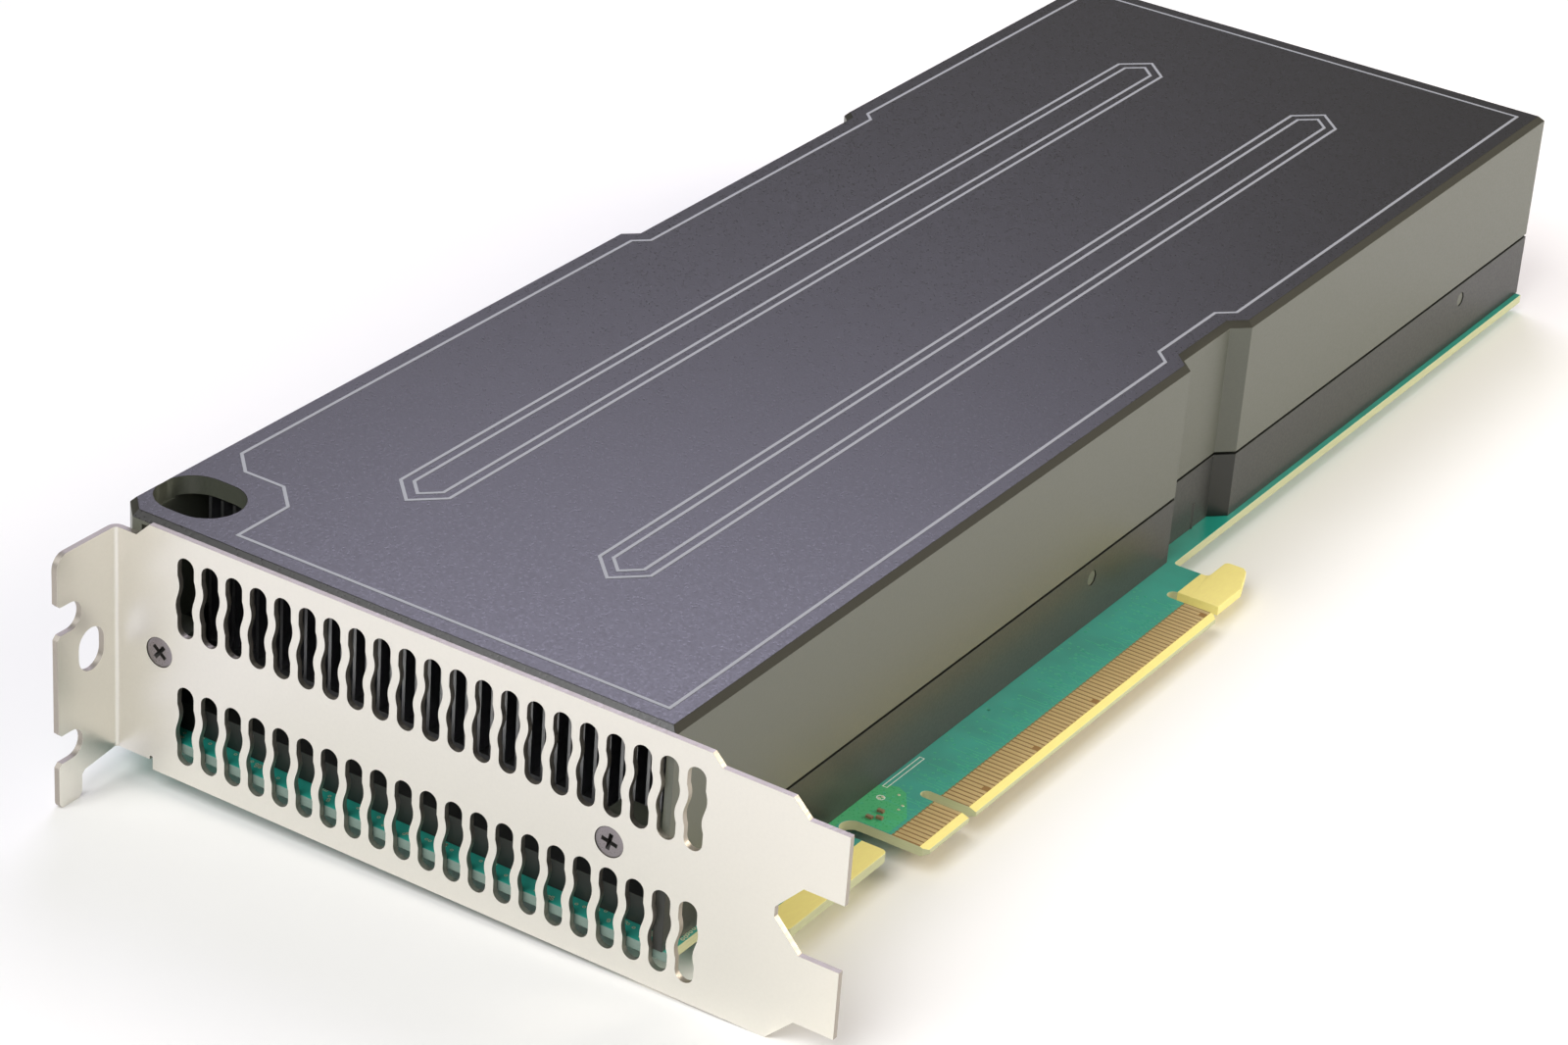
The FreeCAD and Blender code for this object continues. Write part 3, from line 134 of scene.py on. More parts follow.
@dataclass(frozen=True)
class Finish:
    """One surface of a real material, and how it was made.

    Attributes:
        name: The material's common name.
        colour: sRGB hex colour.
        metallic: 1 for bare metal, 0 for everything else.
        roughness: From 0, polished, to 1, dull.
        coat: Weight of a clear lacquer over it.
        specular: Strength of the plain reflection of a surface that isn't metal.
        grain: Its fine unevenness.
    """

    name: str
    colour: str
    metallic: float = 0.0
    roughness: float = 0.5
    coat: float = 0.0
    specular: float = 0.5
    grain: Grain | None = None

    def build(self) -> bpy.types.Material:
        """Makes the Blender material, or gives the one already made under this name."""
        made = bpy.data.materials.get(self.name)
        if made is not None:
            return made
        material = bpy.data.materials.new(self.name)
        material.use_nodes = True
        tree = material.node_tree
        tree.nodes.clear()
        values = {"Base Color": linear(self.colour), "Metallic": self.metallic,
                  "Roughness": self.roughness, "Coat Weight": self.coat,
                  "Specular IOR Level": self.specular}
        if not self.metallic:
            values["IOR"] = PLAIN_IOR
        shader = add_node(tree, "ShaderNodeBsdfPrincipled", values)
        if self.grain:
            self.add_grain(tree, shader)
        add_node(tree, "ShaderNodeOutputMaterial", links={"Surface": shader.outputs["BSDF"]})
        return material

    def add_grain(self, tree: bpy.types.NodeTree, shader: bpy.types.Node) -> None:
        """Adds the grain's bump, shade and roughness to the shader."""
        grain = self.grain
        place = add_node(tree, "ShaderNodeTexCoord").outputs["Object"]
        mapping = add_node(tree, "ShaderNodeMapping",
                           {"Scale": tuple(1000 / grain.size / s for s in grain.stretch)},
                           {"Vector": place})
        noise = add_node(tree, "ShaderNodeTexNoise", {"Scale": 1.0, "Detail": 2.0},
                         {"Vector": mapping.outputs["Vector"]}).outputs["Fac"]
        if grain.depth:
            bump = add_node(tree, "ShaderNodeBump", {"Distance": grain.depth / 1000, "Strength": 1.0},
                            {"Height": noise})
            tree.links.new(bump.outputs["Normal"], shader.inputs["Normal"])
        if grain.roughness:
            swing = add_node(tree, "ShaderNodeMapRange",
                             {"From Min": 0.3, "From Max": 0.7,
                              "To Min": self.roughness - grain.roughness,
                              "To Max": self.roughness + grain.roughness}, {"Value": noise})
            tree.links.new(swing.outputs["Result"], shader.inputs["Roughness"])
        if grain.shade:
            base = linear(self.colour)
            ends = [tuple(min(1.0, c * factor) for c in base[:3]) + (1.0,)
                    for factor in (1 - grain.shade, 1 + grain.shade)]
            mix = add_node(tree, "ShaderNodeMix", {6: ends[0], 7: ends[1]}, {0: noise},
                           data_type="RGBA")
            tree.links.new(mix.outputs[2], shader.inputs["Base Color"])


class Finishes(Enum):
    """Every finish on the card."""

    # dark satin paint, baked on: a fine even grain that catches light as a soft sheen
    ROOF_PAINT = Finish("satin paint on the roof", "#1a1814", 0.2, 0.33, specular=1.0,
                        grain=Grain(0.45, 0.018, 0.07, 0.2))
    # a dull copy of the roof's paint on the roof's long edges: painted shade, which keeps the edges a dark
    # band
    SHADED_EDGE_PAINT = Finish("dulled paint on an edge for shade", "#34332b", 0.0, 0.6, specular=0.15,
                        grain=Grain(0.5, 0.02, 0.05, 0.2))
    # the same paint on the folded walls, given a lighter colour than the roof's: painted light
    LIGHTENED_WALL_PAINT = Finish("satin paint on the walls, painted lighter", "#54574b", 0.2, 0.38, specular=1.0,
                        grain=Grain(0.35, 0.008, 0.05, 0.15))
    # screen-printed line ink: flat and even
    STRIPE_INK = Finish("printed line ink", "#97999c", 0.0, 0.55, grain=Grain(0.3, 0.002, 0.04, 0.04))
    # die-cast aluminium, painted black
    FRAME_METAL = Finish("painted cast aluminium", "#20221d", 0.2, 0.38, specular=0.8,
                         grain=Grain(0.4, 0.01, 0.05, 0.12))
    # nickel-plated steel sheet: bright, with a soft satin from the rolled sheet
    NICKEL_STEEL = Finish("nickel-plated steel", "#ebe8e0", 1.0, 0.34,
                          grain=Grain(0.5, 0.0, 0.04, 0.03))
    # its sheared edges: duller and greyer than the rolled faces
    SHEARED_STEEL = Finish("sheared edge of nickel-plated steel", "#b3aca2", 1.0, 0.5,
                           grain=Grain(0.3, 0.006, 0.08, 0.15, (4.0, 1.0, 1.0)))
    # zinc-plated machine screws
    SCREW_STEEL = Finish("zinc-plated steel", "#918b8e", 1.0, 0.32, grain=Grain(0.2, 0.003, 0.08, 0.06))
    # the screws' recesses: painted shade, a dark finish where the recess lies in shadow
    SHADED_RECESS_STEEL = Finish("painted shade in the recess", "#24221f", 0.4, 0.6, grain=Grain(0.15, 0.003, 0.05, 0.1))
    # green solder mask over copper and glass laminate: glossy lacquer
    SOLDER_MASK = Finish("green solder mask", "#259a88", 0.0, 0.30, 0.3,
                         grain=Grain(7.0, 0.0, 0.0, 0.3))
    # copper tracks under the mask: a lighter green
    MASKED_COPPER = Finish("mask over copper", "#45b48c", 0.0, 0.3, grain=Grain(1.0, 0.0, 0.05, 0.1))
    # tinned copper of vias and test pads
    VIA_TIN = Finish("tinned copper", "#d8d8b8", 0.6, 0.35, grain=Grain(0.1, 0.0, 0.1, 0.1))
    # white screen ink on the board
    SCREEN_INK = Finish("white screen ink", "#dfe9dc", 0.0, 0.6, grain=Grain(0.15, 0.003, 0.05, 0.06))
    # mask over laminate without copper under it: a lighter, yellower green
    MASKED_LAMINATE = Finish("mask over laminate", "#3fae70", 0.0, 0.3, grain=Grain(0.5, 0.0, 0.05, 0.08))
    # laminate between the contacts, browned by the inner layers
    FINGER_GAPS = Finish("laminate between the contacts", "#94703c", 0.0, 0.45,
                         grain=Grain(0.3, 0.0, 0.05, 0.1))
    # glass-epoxy laminate without mask: milky yellow
    BARE_LAMINATE = Finish("glass-epoxy laminate", "#feec92", 0.0, 0.45,
                           grain=Grain(0.5, 0.0, 0.05, 0.06, (3.0, 1.0, 1.0)))
    # the laminate's cut edge, paler where the glass is broken, in fine layers; its grey-green cast is
    # painted shade on the upright edges
    CUT_AND_SHADED_LAMINATE = Finish("cut edge of laminate", "#c3c69c", 0.0, 0.5,
                          grain=Grain(0.12, 0.004, 0.0, 0.12, (20.0, 20.0, 1.0)))
    # the edge behind the bracket, in a dark grey-green: painted shade where it lies inside the housing's
    # mouth
    SHADED_FRONT_EDGE = Finish("front edge of laminate in painted shade", "#7d9288", 0.0, 0.5,
                         grain=Grain(0.12, 0.004, 0.0, 0.12, (20.0, 20.0, 1.0)))
    # hard gold over nickel on the contact fingers, brushed to a satin
    CONTACT_GOLD = Finish("gold-plated contacts", "#f2dca6", 1.0, 0.55,
                          grain=Grain(0.08, 0.001, 0.05, 0.04, (1.0, 12.0, 1.0)))
    # moulded epoxy of chip bodies
    CHIP_EPOXY = Finish("moulded epoxy", "#1b1b1c", 0.0, 0.45, grain=Grain(0.15, 0.01, 0.08, 0.15))
    # soft pad, filled with ceramic powder: dull and slightly mottled
    THERMAL_PAD = Finish("silicone thermal pad", "#9aa5b0", 0.0, 0.8, grain=Grain(0.6, 0.03, 0.05, 0.08))
    # pressed powder cores of the inductors: dark grey with a sandy surface
    FERRITE = Finish("pressed ferrite", "#4a4a4c", 0.0, 0.6, grain=Grain(0.2, 0.02, 0.06, 0.15))
    # drawn can of a capacitor: bright, with fine lines round it
    CAN_ALUMINIUM = Finish("drawn aluminium can", "#c4c4c2", 1.0, 0.3,
                           grain=Grain(0.1, 0.002, 0.06, 0.04, (10.0, 10.0, 1.0)))
    # the capacitor's coloured half-moon and its ring of lacquer
    CAN_INK = Finish("blue marking ink", "#2b4c86", 0.0, 0.45, grain=Grain(0.2, 0.0, 0.05, 0.08))
    # moulded nylon of the power connector: black, with a faint orange-peel
    NYLON = Finish("moulded black nylon", "#161617", 0.0, 0.4, grain=Grain(0.8, 0.01, 0.06, 0.12))
    # the processors' package: a deeper green than the board's
    SUBSTRATE = Finish("green package laminate", "#2c6b45", 0.0, 0.35, grain=Grain(0.8, 0.0, 0.05, 0.1))
    # back of the bare die: near a mirror, dark grey
    SILICON = Finish("polished silicon", "#4d5158", 0.0, 0.1, grain=Grain(2.0, 0.0, 0.03, 0.05))
    # milled contact plates: warm, with the cutter's fine lines
    COPPER = Finish("machined copper", "#b87352", 1.0, 0.3,
                    grain=Grain(0.12, 0.003, 0.08, 0.1, (1.0, 15.0, 1.0)))
    # heat-sink fins: satin, drawn out along the air flow
    FIN_ALUMINIUM = Finish("extruded aluminium", "#b9babc", 1.0, 0.35,
                           grain=Grain(0.15, 0.003, 0.06, 0.06, (25.0, 1.0, 1.0)))
    # springy backing crosses, blackened
    SPRING_STEEL = Finish("black spring steel", "#232425", 0.5, 0.4, grain=Grain(0.3, 0.004, 0.06, 0.12))
    # fired ceramic of the tiny chip parts: a dull brown
    CERAMIC = Finish("ceramic capacitor body", "#8d7355", 0.0, 0.4, grain=Grain(0.2, 0.005, 0.05, 0.1))

    def build(self) -> bpy.types.Material:
        """Makes this finish's material."""
        return self.value.build()


# ---- The card ----
SLOT_FINISHES: dict[str, Finishes] = {
    "board": Finishes.SOLDER_MASK, "gold": Finishes.CONTACT_GOLD, "component": Finishes.CERAMIC,
    "bracket_steel": Finishes.NICKEL_STEEL, "screw_steel": Finishes.SCREW_STEEL,
    "cover_metal": Finishes.ROOF_PAINT, "stripe_ink": Finishes.STRIPE_INK,
    "frame_metal": Finishes.FRAME_METAL, "chip": Finishes.CHIP_EPOXY,
    "thermal_pad": Finishes.THERMAL_PAD, "inductor": Finishes.FERRITE,
    "capacitor": Finishes.CAN_ALUMINIUM, "connector_plastic": Finishes.NYLON,
    "substrate": Finishes.SUBSTRATE, "die": Finishes.SILICON, "copper": Finishes.COPPER,
    "fin_aluminium": Finishes.FIN_ALUMINIUM, "backing_steel": Finishes.SPRING_STEEL,
}


def dress_frame() -> None:
    """Gives every node of the frame the finish of its material slot."""
    slots = {part["node"]: part["material_slot"] for part in frame["record"]["subparts"]}
    for name, node in frame["nodes"].items():
        finish = SLOT_FINISHES[slots[name]]
        material = finish.build()
        if node.material_slots:
            for place in node.material_slots:
                place.material = material
        else:
            node.data.materials.append(material)
        log.info("%s: %s", name, finish.value.name)


# ---- Mesh helpers ----
BROAD_FACE = 30.0   # square millimetres: a face at least this broad is one of a piece's flat sides
SAME_PLACE = 1e-7   # metres: vertices nearer than this are one


def arc(middle: Spot, radius: float, start: float, end: float, steps: int) -> list[Spot]:
    """Gives points along an arc.

    Args:
        middle: The arc's centre.
        radius: Its radius.
        start: The angle of the first point in degrees.
        end: The angle of the last point in degrees.
        steps: How many chords it has.

    Returns:
        The points, both ends included.
    """
    turns = [radians(start + (end - start) * i / steps) for i in range(steps + 1)]
    return [(middle[0] + radius * cos(t), middle[1] + radius * sin(t)) for t in turns]


def add_loop(bm: BMesh, spots: list[Point]) -> list[BMEdge]:
    """Adds a closed loop of edges through places in millimetres and returns the edges."""
    verts = [bm.verts.new(metres(*spot)) for spot in spots]
    return [bm.edges.new((verts[i - 1], verts[i])) for i in range(len(verts))]


def filled(bm: BMesh, loops: list[list[Point]]) -> list[BMFace]:
    """Fills the space between an outline and the holes in it.

    Args:
        bm: The mesh that takes the faces.
        loops: The outline and its holes, in one plane.

    Returns:
        The new faces.
    """
    edges = [edge for loop in loops for edge in add_loop(bm, loop)]
    made = bmesh.ops.triangle_fill(bm, edges=edges, use_beauty=True)
    return [item for item in made["geom"] if isinstance(item, BMFace)]


def add_band(bm: BMesh, outer: list[Spot], inner: list[Spot], low: float,
             high: float) -> None:
    """Adds a closed flat band between two outlines.

    Args:
        bm: The mesh that takes it.
        outer: The outer outline.
        inner: The inner outline, with as many corners.
        low: The level of its underside.
        high: The level of its upper side.
    """
    rims = [[bm.verts.new(metres(*spot, level)) for spot in outline]
            for outline, level in ((inner, low), (outer, low), (outer, high), (inner, high))]
    for last, rim in zip(rims[-1:] + rims, rims):
        for corner in range(len(rim)):
            bm.faces.new((last[corner - 1], last[corner], rim[corner], rim[corner - 1]))


def add_slab(bm: BMesh, outline: list[Spot], low: float, high: float) -> None:
    """Adds a closed flat slab.

    Args:
        bm: The mesh that takes it.
        outline: Its outline, which is convex.
        low: The level of its underside.
        high: The level of its upper side.
    """
    under, upper = [[bm.verts.new(metres(*spot, level)) for spot in outline] for level in (low, high)]
    bm.faces.new(under)
    bm.faces.new(upper)
    for corner in range(len(outline)):
        bm.faces.new((under[corner - 1], under[corner], upper[corner], upper[corner - 1]))


def rim_edges(bm: BMesh, angle: float = 40.0) -> list[BMEdge]:
    """Gives the edges at which two faces meet more steeply than an angle in degrees."""
    return [edge for edge in bm.edges
            if len(edge.link_faces) == 2 and edge.calc_face_angle(0.0) > radians(angle)]


def bevelled(bm: BMesh, edges: list[BMEdge], width: float,
             segments: int = 2) -> None:
    """Rounds edges off by a width in millimetres."""
    bmesh.ops.bevel(bm, geom=edges, offset=width / 1000, offset_type="OFFSET", segments=segments,
                    profile=0.5, affect="EDGES", material=-1, clamp_overlap=True)


def split_at(bm: BMesh, axis: int, level: float) -> None:
    """Splits a mesh's faces along the plane at a level on one axis."""
    normal = Vector((0, 0, 0))
    normal[axis] = 1
    bmesh.ops.bisect_plane(bm, geom=bm.verts[:] + bm.edges[:] + bm.faces[:],
                           plane_co=normal * level / 1000, plane_no=normal, dist=SAME_PLACE)


def number_new(bm: BMesh, before: set[BMFace], number: int) -> None:
    """Gives a material number to the faces that weren't there before."""
    for face in set(bm.faces) - before:
        face.material_index = number


def as_piece(name: str, bm: BMesh, finishes: list[Finishes], smooth: float = 20.0,
             replaced: tuple[str, ...] = ()) -> bpy.types.Object:
    """Makes a mesh into a finished piece that rides on the card.

    Args:
        name: The piece's name.
        bm: Its mesh, in place. It is freed.
        finishes: Its finishes, in the order of the mesh's material numbers.
        smooth: Faces that meet below this angle in degrees are shaded as one.
        replaced: The frame's nodes that it stands for.

    Returns:
        The new object.
    """
    bmesh.ops.recalc_face_normals(bm, faces=bm.faces)
    mesh = bpy.data.meshes.new(name)
    bm.to_mesh(mesh)
    bm.free()
    mesh.shade_smooth()
    mesh.set_sharp_from_angle(angle=radians(smooth))
    for polygon in mesh.polygons:
        polygon.use_smooth = polygon.area * 1e6 < BROAD_FACE
    for finish in finishes:
        mesh.materials.append(finish.build())
    piece = bpy.data.objects.new(name, mesh)
    bpy.context.scene.collection.objects.link(piece)
    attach(piece, "root")
    if replaced:
        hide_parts(*replaced)
    log.info("%s: %d faces", name, len(mesh.polygons))
    return piece


def copied_node(node: str) -> BMesh:
    """Gives one of the frame's nodes as a merged mesh whose flat sides are single faces."""
    bm = bmesh.new()
    bm.from_mesh(frame["nodes"][node].data)
    bmesh.ops.remove_doubles(bm, verts=bm.verts, dist=SAME_PLACE)
    bmesh.ops.dissolve_limit(bm, angle_limit=radians(0.5), verts=bm.verts, edges=bm.edges)
    return bm


# ---- Places that several pieces share ----
BRACKET_FACE = -56.5
BRACKET_BOTTOM = -5.36
BRACKET_HEIGHT = 38.74
BRACKET_MIDDLE = BRACKET_BOTTOM + BRACKET_HEIGHT / 2
BRACKET_SCREW_ROWS = (22.7, 98.6)
MODULE_MIDDLES = (5.5, 130.0)          # the two processors, in X
MODULE_ROW = 60.65                     # both of them, in Y
BOARD_SCREW_OFFSETS = (-36.0, 44.0)    # from each processor's middle, in X
BOARD_SCREW_ROWS = (19.4, 101.9)


# ---- Housing ----
@dataclass
class Housing:
    """The painted upper housing and the cast frame under it, with their edges softened."""

    roof_level: float = 33.9
    roof_edge: float = 0.9
    cover_round: float = 0.18
    frame_round: float = 0.15

    def build(self) -> None:
        """Builds both shells."""
        cover = copied_node("cover")
        bevelled(cover, rim_edges(cover), self.cover_round)
        cover.normal_update()
        # walls take the lightened paint (painted light), the roof's long edges the dull paint (painted
        # shade)
        for face in cover.faces:
            face.material_index = self.cover_finish(face)
        as_piece("painted_cover", cover, [Finishes.ROOF_PAINT, Finishes.LIGHTENED_WALL_PAINT, Finishes.SHADED_EDGE_PAINT],
                 replaced=("cover",))
        base = copied_node("base_frame")
        bevelled(base, rim_edges(base), self.frame_round)
        as_piece("cast_base_frame", base, [Finishes.FRAME_METAL], replaced=("base_frame",))

    def cover_finish(self, face: BMFace) -> int:
        """Gives the number of the finish that a face of the cover has.

        Args:
            face: The face, with its normal up to date.

        Returns:
            0 for the roof, 1 for a wall, in the paint lightened as painted light, and 2 for the roof's
            long edges, in the dull paint that paints their shade.
        """
        if face.calc_center_median().z * 1000 < self.roof_level - self.roof_edge:
            return 1
        return 2 if abs(face.normal.y) > 0.2 else 0


# ---- Board ----
@dataclass
class CircuitBoard:
    """The board, with its solder mask, bare laminate and fine surface parts."""

    edge_round: float = 0.1
    tongue: Spot = (-13.0, 73.3)
    bevel_edge: float = 1.25
    finger_edge: float = 5.85
    mask_edge: float = 8.25
    lower_edge: float = 13.15
    housing_low: float = 14.1
    front_edge: float = -55.2
    sunk: float = -0.01
    pour_level: float = 0.006
    trace_level: float = 0.012
    via_level: float = 0.016
    ink_level: float = 0.02
    trace_width: float = 0.14
    ink_width: float = 0.14
    under: float = -1.57
    solder_vias: int = 420
    solder_traces: int = 12
    module_reach: float = 41.0
    screw_offsets: Spot = (-36.0, 44.0)
    screw_rows: Spot = (19.4, 101.9)
    screw_room: float = 3.2

    def build(self) -> None:
        """Builds the board and everything on its open strip."""
        self.add_board()
        self.add_pour()
        self.add_traces()
        self.add_vias()
        self.add_silkscreen()
        self.add_test_pads()
        self.add_solder_side()

    def finish_at(self, spot: Vector, upright: bool) -> int:
        """Gives the number of the finish that a face of the board has.

        Args:
            spot: The face's middle in millimetres.
            upright: Whether it is one of the board's cut edges.

        Returns:
            0 for solder mask, 1 for bare laminate, 2 for the darkened laminate between contacts,
            3 for the laminate's cut edges, greyed partly by painted shade, and 4 for the edge behind the
            bracket, in painted shade.
        """
        # the edge behind the bracket takes the finish that paints its shade; other cut edges the greyed
        # laminate
        if upright and spot.x < self.front_edge:
            return 4
        if upright:
            return 1 if spot.x > self.tongue[1] + 1 and spot.y < self.mask_edge else 3
        on_tongue = self.tongue[0] < spot.x < self.tongue[1]
        if on_tongue:
            return 1 if spot.y < self.bevel_edge else 2 if spot.y < self.finger_edge else 0
        return 1 if spot.y < self.mask_edge else 0

    def add_board(self) -> None:
        """Splits the board's faces where its finishes change and softens its edges."""
        bm = copied_node("circuit_board")
        bevelled(bm, [e for e in rim_edges(bm) if e.verts[0].co.y * 1000 < self.lower_edge + 1
                      and abs(e.verts[0].co.z - e.verts[1].co.z) < SAME_PLACE], self.edge_round)
        for level in (self.bevel_edge, self.finger_edge, self.mask_edge):
            split_at(bm, 1, level)
        for side in self.tongue:
            split_at(bm, 0, side)
        for face in bm.faces:
            face.material_index = self.finish_at(face.calc_center_bounds() * 1000,
                                                 abs(face.normal.z) < 0.9)
        as_piece("laminated_board", bm, [Finishes.SOLDER_MASK, Finishes.BARE_LAMINATE,
                                         Finishes.FINGER_GAPS, Finishes.CUT_AND_SHADED_LAMINATE,
                                         Finishes.SHADED_FRONT_EDGE],
                 replaced=("circuit_board",))

    def add_pour(self) -> None:
        """Lays the patch beside the bracket where no copper lies under the mask."""
        bm = bmesh.new()
        add_slab(bm, [(-12.0, 6.4), (-7.2, 6.4), (-4.6, 8.0), (-1.7, 9.9), (-0.9, 11.6), (-1.6, 13.4),
                      (-2.6, self.housing_low + 0.3), (-24.0, self.housing_low + 0.3), (-24.0, 13.0),
                      (-14.0, 13.0), (-12.95, 12.75), (-12.3, 11.95), (-12.0, 11.2)],
                 self.sunk, self.pour_level)
        as_piece("mask_over_laminate", bm, [Finishes.MASKED_LAMINATE])

    def add_traces(self) -> None:
        """Draws the signal traces that run up from the contacts under the mask."""
        bm = bmesh.new()
        first, pitch, count = -11.5, 1.0, 82
        for number in range(count):
            x = first + number * pitch + (2.0 if number > 10 else 0.0)
            reach = 6.4 + (number * 7 % 5) * 1.1 + (number % 3) * 0.5
            jog = ((number * 5) % 7 - 3) * 0.18
            path = [(x, self.finger_edge - 0.3), (x, 6.6), (x + jog, 6.6 + abs(jog)),
                    (x + jog, min(reach + abs(jog), self.housing_low + 0.5))]
            for a, b in zip(path, path[1:]):
                run = Vector((b[0] - a[0], b[1] - a[1]))
                if run.length < 0.05:
                    continue
                side = Vector((-run.y, run.x)).normalized() * self.trace_width / 2
                add_slab(bm, [(a[0] - side.x, a[1] - side.y), (b[0] - side.x, b[1] - side.y),
                              (b[0] + side.x, b[1] + side.y), (a[0] + side.x, a[1] + side.y)],
                         self.sunk, self.trace_level)
        as_piece("signal_traces", bm, [Finishes.MASKED_COPPER])

    def add_vias(self) -> None:
        """Scatters the plated vias over the open strip and behind the bracket."""
        bm = bmesh.new()
        rng = random.Random(11)
        for _ in range(150):
            x, y = rng.uniform(-11, 71.5), rng.uniform(6.9, self.housing_low - 0.4)
            if abs(x) > 1.4 or y > 9.0:
                self.add_ring(bm, (x, y), 0.1, 0.22, self.via_level)
        as_piece("tented_vias", bm, [Finishes.MASKED_COPPER])
        bm = bmesh.new()
        for _ in range(36):
            self.add_ring(bm, (rng.uniform(-54.4, -48.0), rng.uniform(13.6, 18.0)), 0.16, 0.34,
                          self.via_level)
        for _ in range(90):
            self.add_ring(bm, (rng.uniform(-54.6, -52.2), rng.uniform(15.0, 105.0)), 0.14, 0.28,
                          self.via_level)
        as_piece("plated_vias", bm, [Finishes.VIA_TIN])

    def add_ring(self, bm: BMesh, spot: Spot, hole: float, radius: float,
                 level: float) -> None:
        """Adds one flat ring on the board, with its hole, its radius and its upper level."""
        outer, inner = (arc(spot, size, 0, 360, 8)[:-1] for size in (radius, hole))
        add_band(bm, outer, inner, self.sunk, level)

    def add_silkscreen(self) -> None:
        """Prints the plain white outline beside the housing."""
        bm = bmesh.new()
        low, high, line = (-2.2, 12.75), (7.9, 13.6), self.ink_width
        outer = [low, (high[0], low[1]), high, (low[0], high[1])]
        inner = [(low[0] + line, low[1] + line), (high[0] - line, low[1] + line),
                 (high[0] - line, high[1] - line), (low[0] + line, high[1] - line)]
        add_band(bm, outer, inner, self.sunk, self.ink_level)
        self.add_ring(bm, (-4.9, 12.1), 0.5, 0.68, self.ink_level)
        as_piece("silkscreen", bm, [Finishes.SCREEN_INK])

    def add_test_pads(self) -> None:
        """Sets the round test pads and the fiducial beside the bracket."""
        bm = bmesh.new()
        for x, y in ((-2.7, 10.5), (-4.8, 8.6), (-6.0, 8.5), (-5.15, 12.25), (-4.65, 11.95)):
            bmesh.ops.create_cone(bm, cap_ends=True, segments=14, radius1=0.24 / 1000,
                                  radius2=0.2 / 1000, depth=0.06 / 1000,
                                  matrix=Matrix.Translation(metres(x, y, 0.03)))
        as_piece("test_pads", bm, [Finishes.VIA_TIN])


    def is_clear(self, x: float, y: float) -> bool:
        """Tells whether a spot on the solder side is clear of the memory chips and the screws."""
        for middle in MODULE_MIDDLES:
            if abs(x - middle) < self.module_reach and abs(y - MODULE_ROW) < self.module_reach:
                return False
            for offset in self.screw_offsets:
                if any(Vector((x - middle - offset, y - row)).length < self.screw_room
                       for row in self.screw_rows):
                    return False
        return True

    def add_solder_side(self) -> None:
        """Scatters vias on the solder side and runs a bus between the two processors."""
        low, high = self.under - self.via_level, self.under - self.sunk
        bm = bmesh.new()
        rng = random.Random(5)
        for _ in range(self.solder_vias):
            x, y = rng.uniform(-52, 207), rng.uniform(14, 109)
            if self.is_clear(x, y):
                rings = [arc((x, y), size, 0, 360, 8)[:-1] for size in (0.34, 0.15)]
                add_band(bm, *rings, low, high)
        as_piece("solder_side_vias", bm, [Finishes.VIA_TIN])
        bm = bmesh.new()
        start, end = [middle - way * self.module_reach for middle, way in zip(MODULE_MIDDLES, (-1, 1))]
        half = self.trace_width
        for number in range(self.solder_traces):
            y, bend = MODULE_ROW - 9 + number * 0.9, start + 14 - number * 0.4
            lean = 4.0
            for a, b in (((start, y), (bend, y)), ((bend, y), (bend + lean, y + lean)),
                         ((bend + lean, y + lean), (end, y + lean))):
                add_slab(bm, [(a[0], a[1] - half), (b[0], b[1] - half), (b[0], b[1] + half),
                              (a[0], a[1] + half)], self.under - self.trace_level, high)
        as_piece("solder_side_bus", bm, [Finishes.MASKED_COPPER])


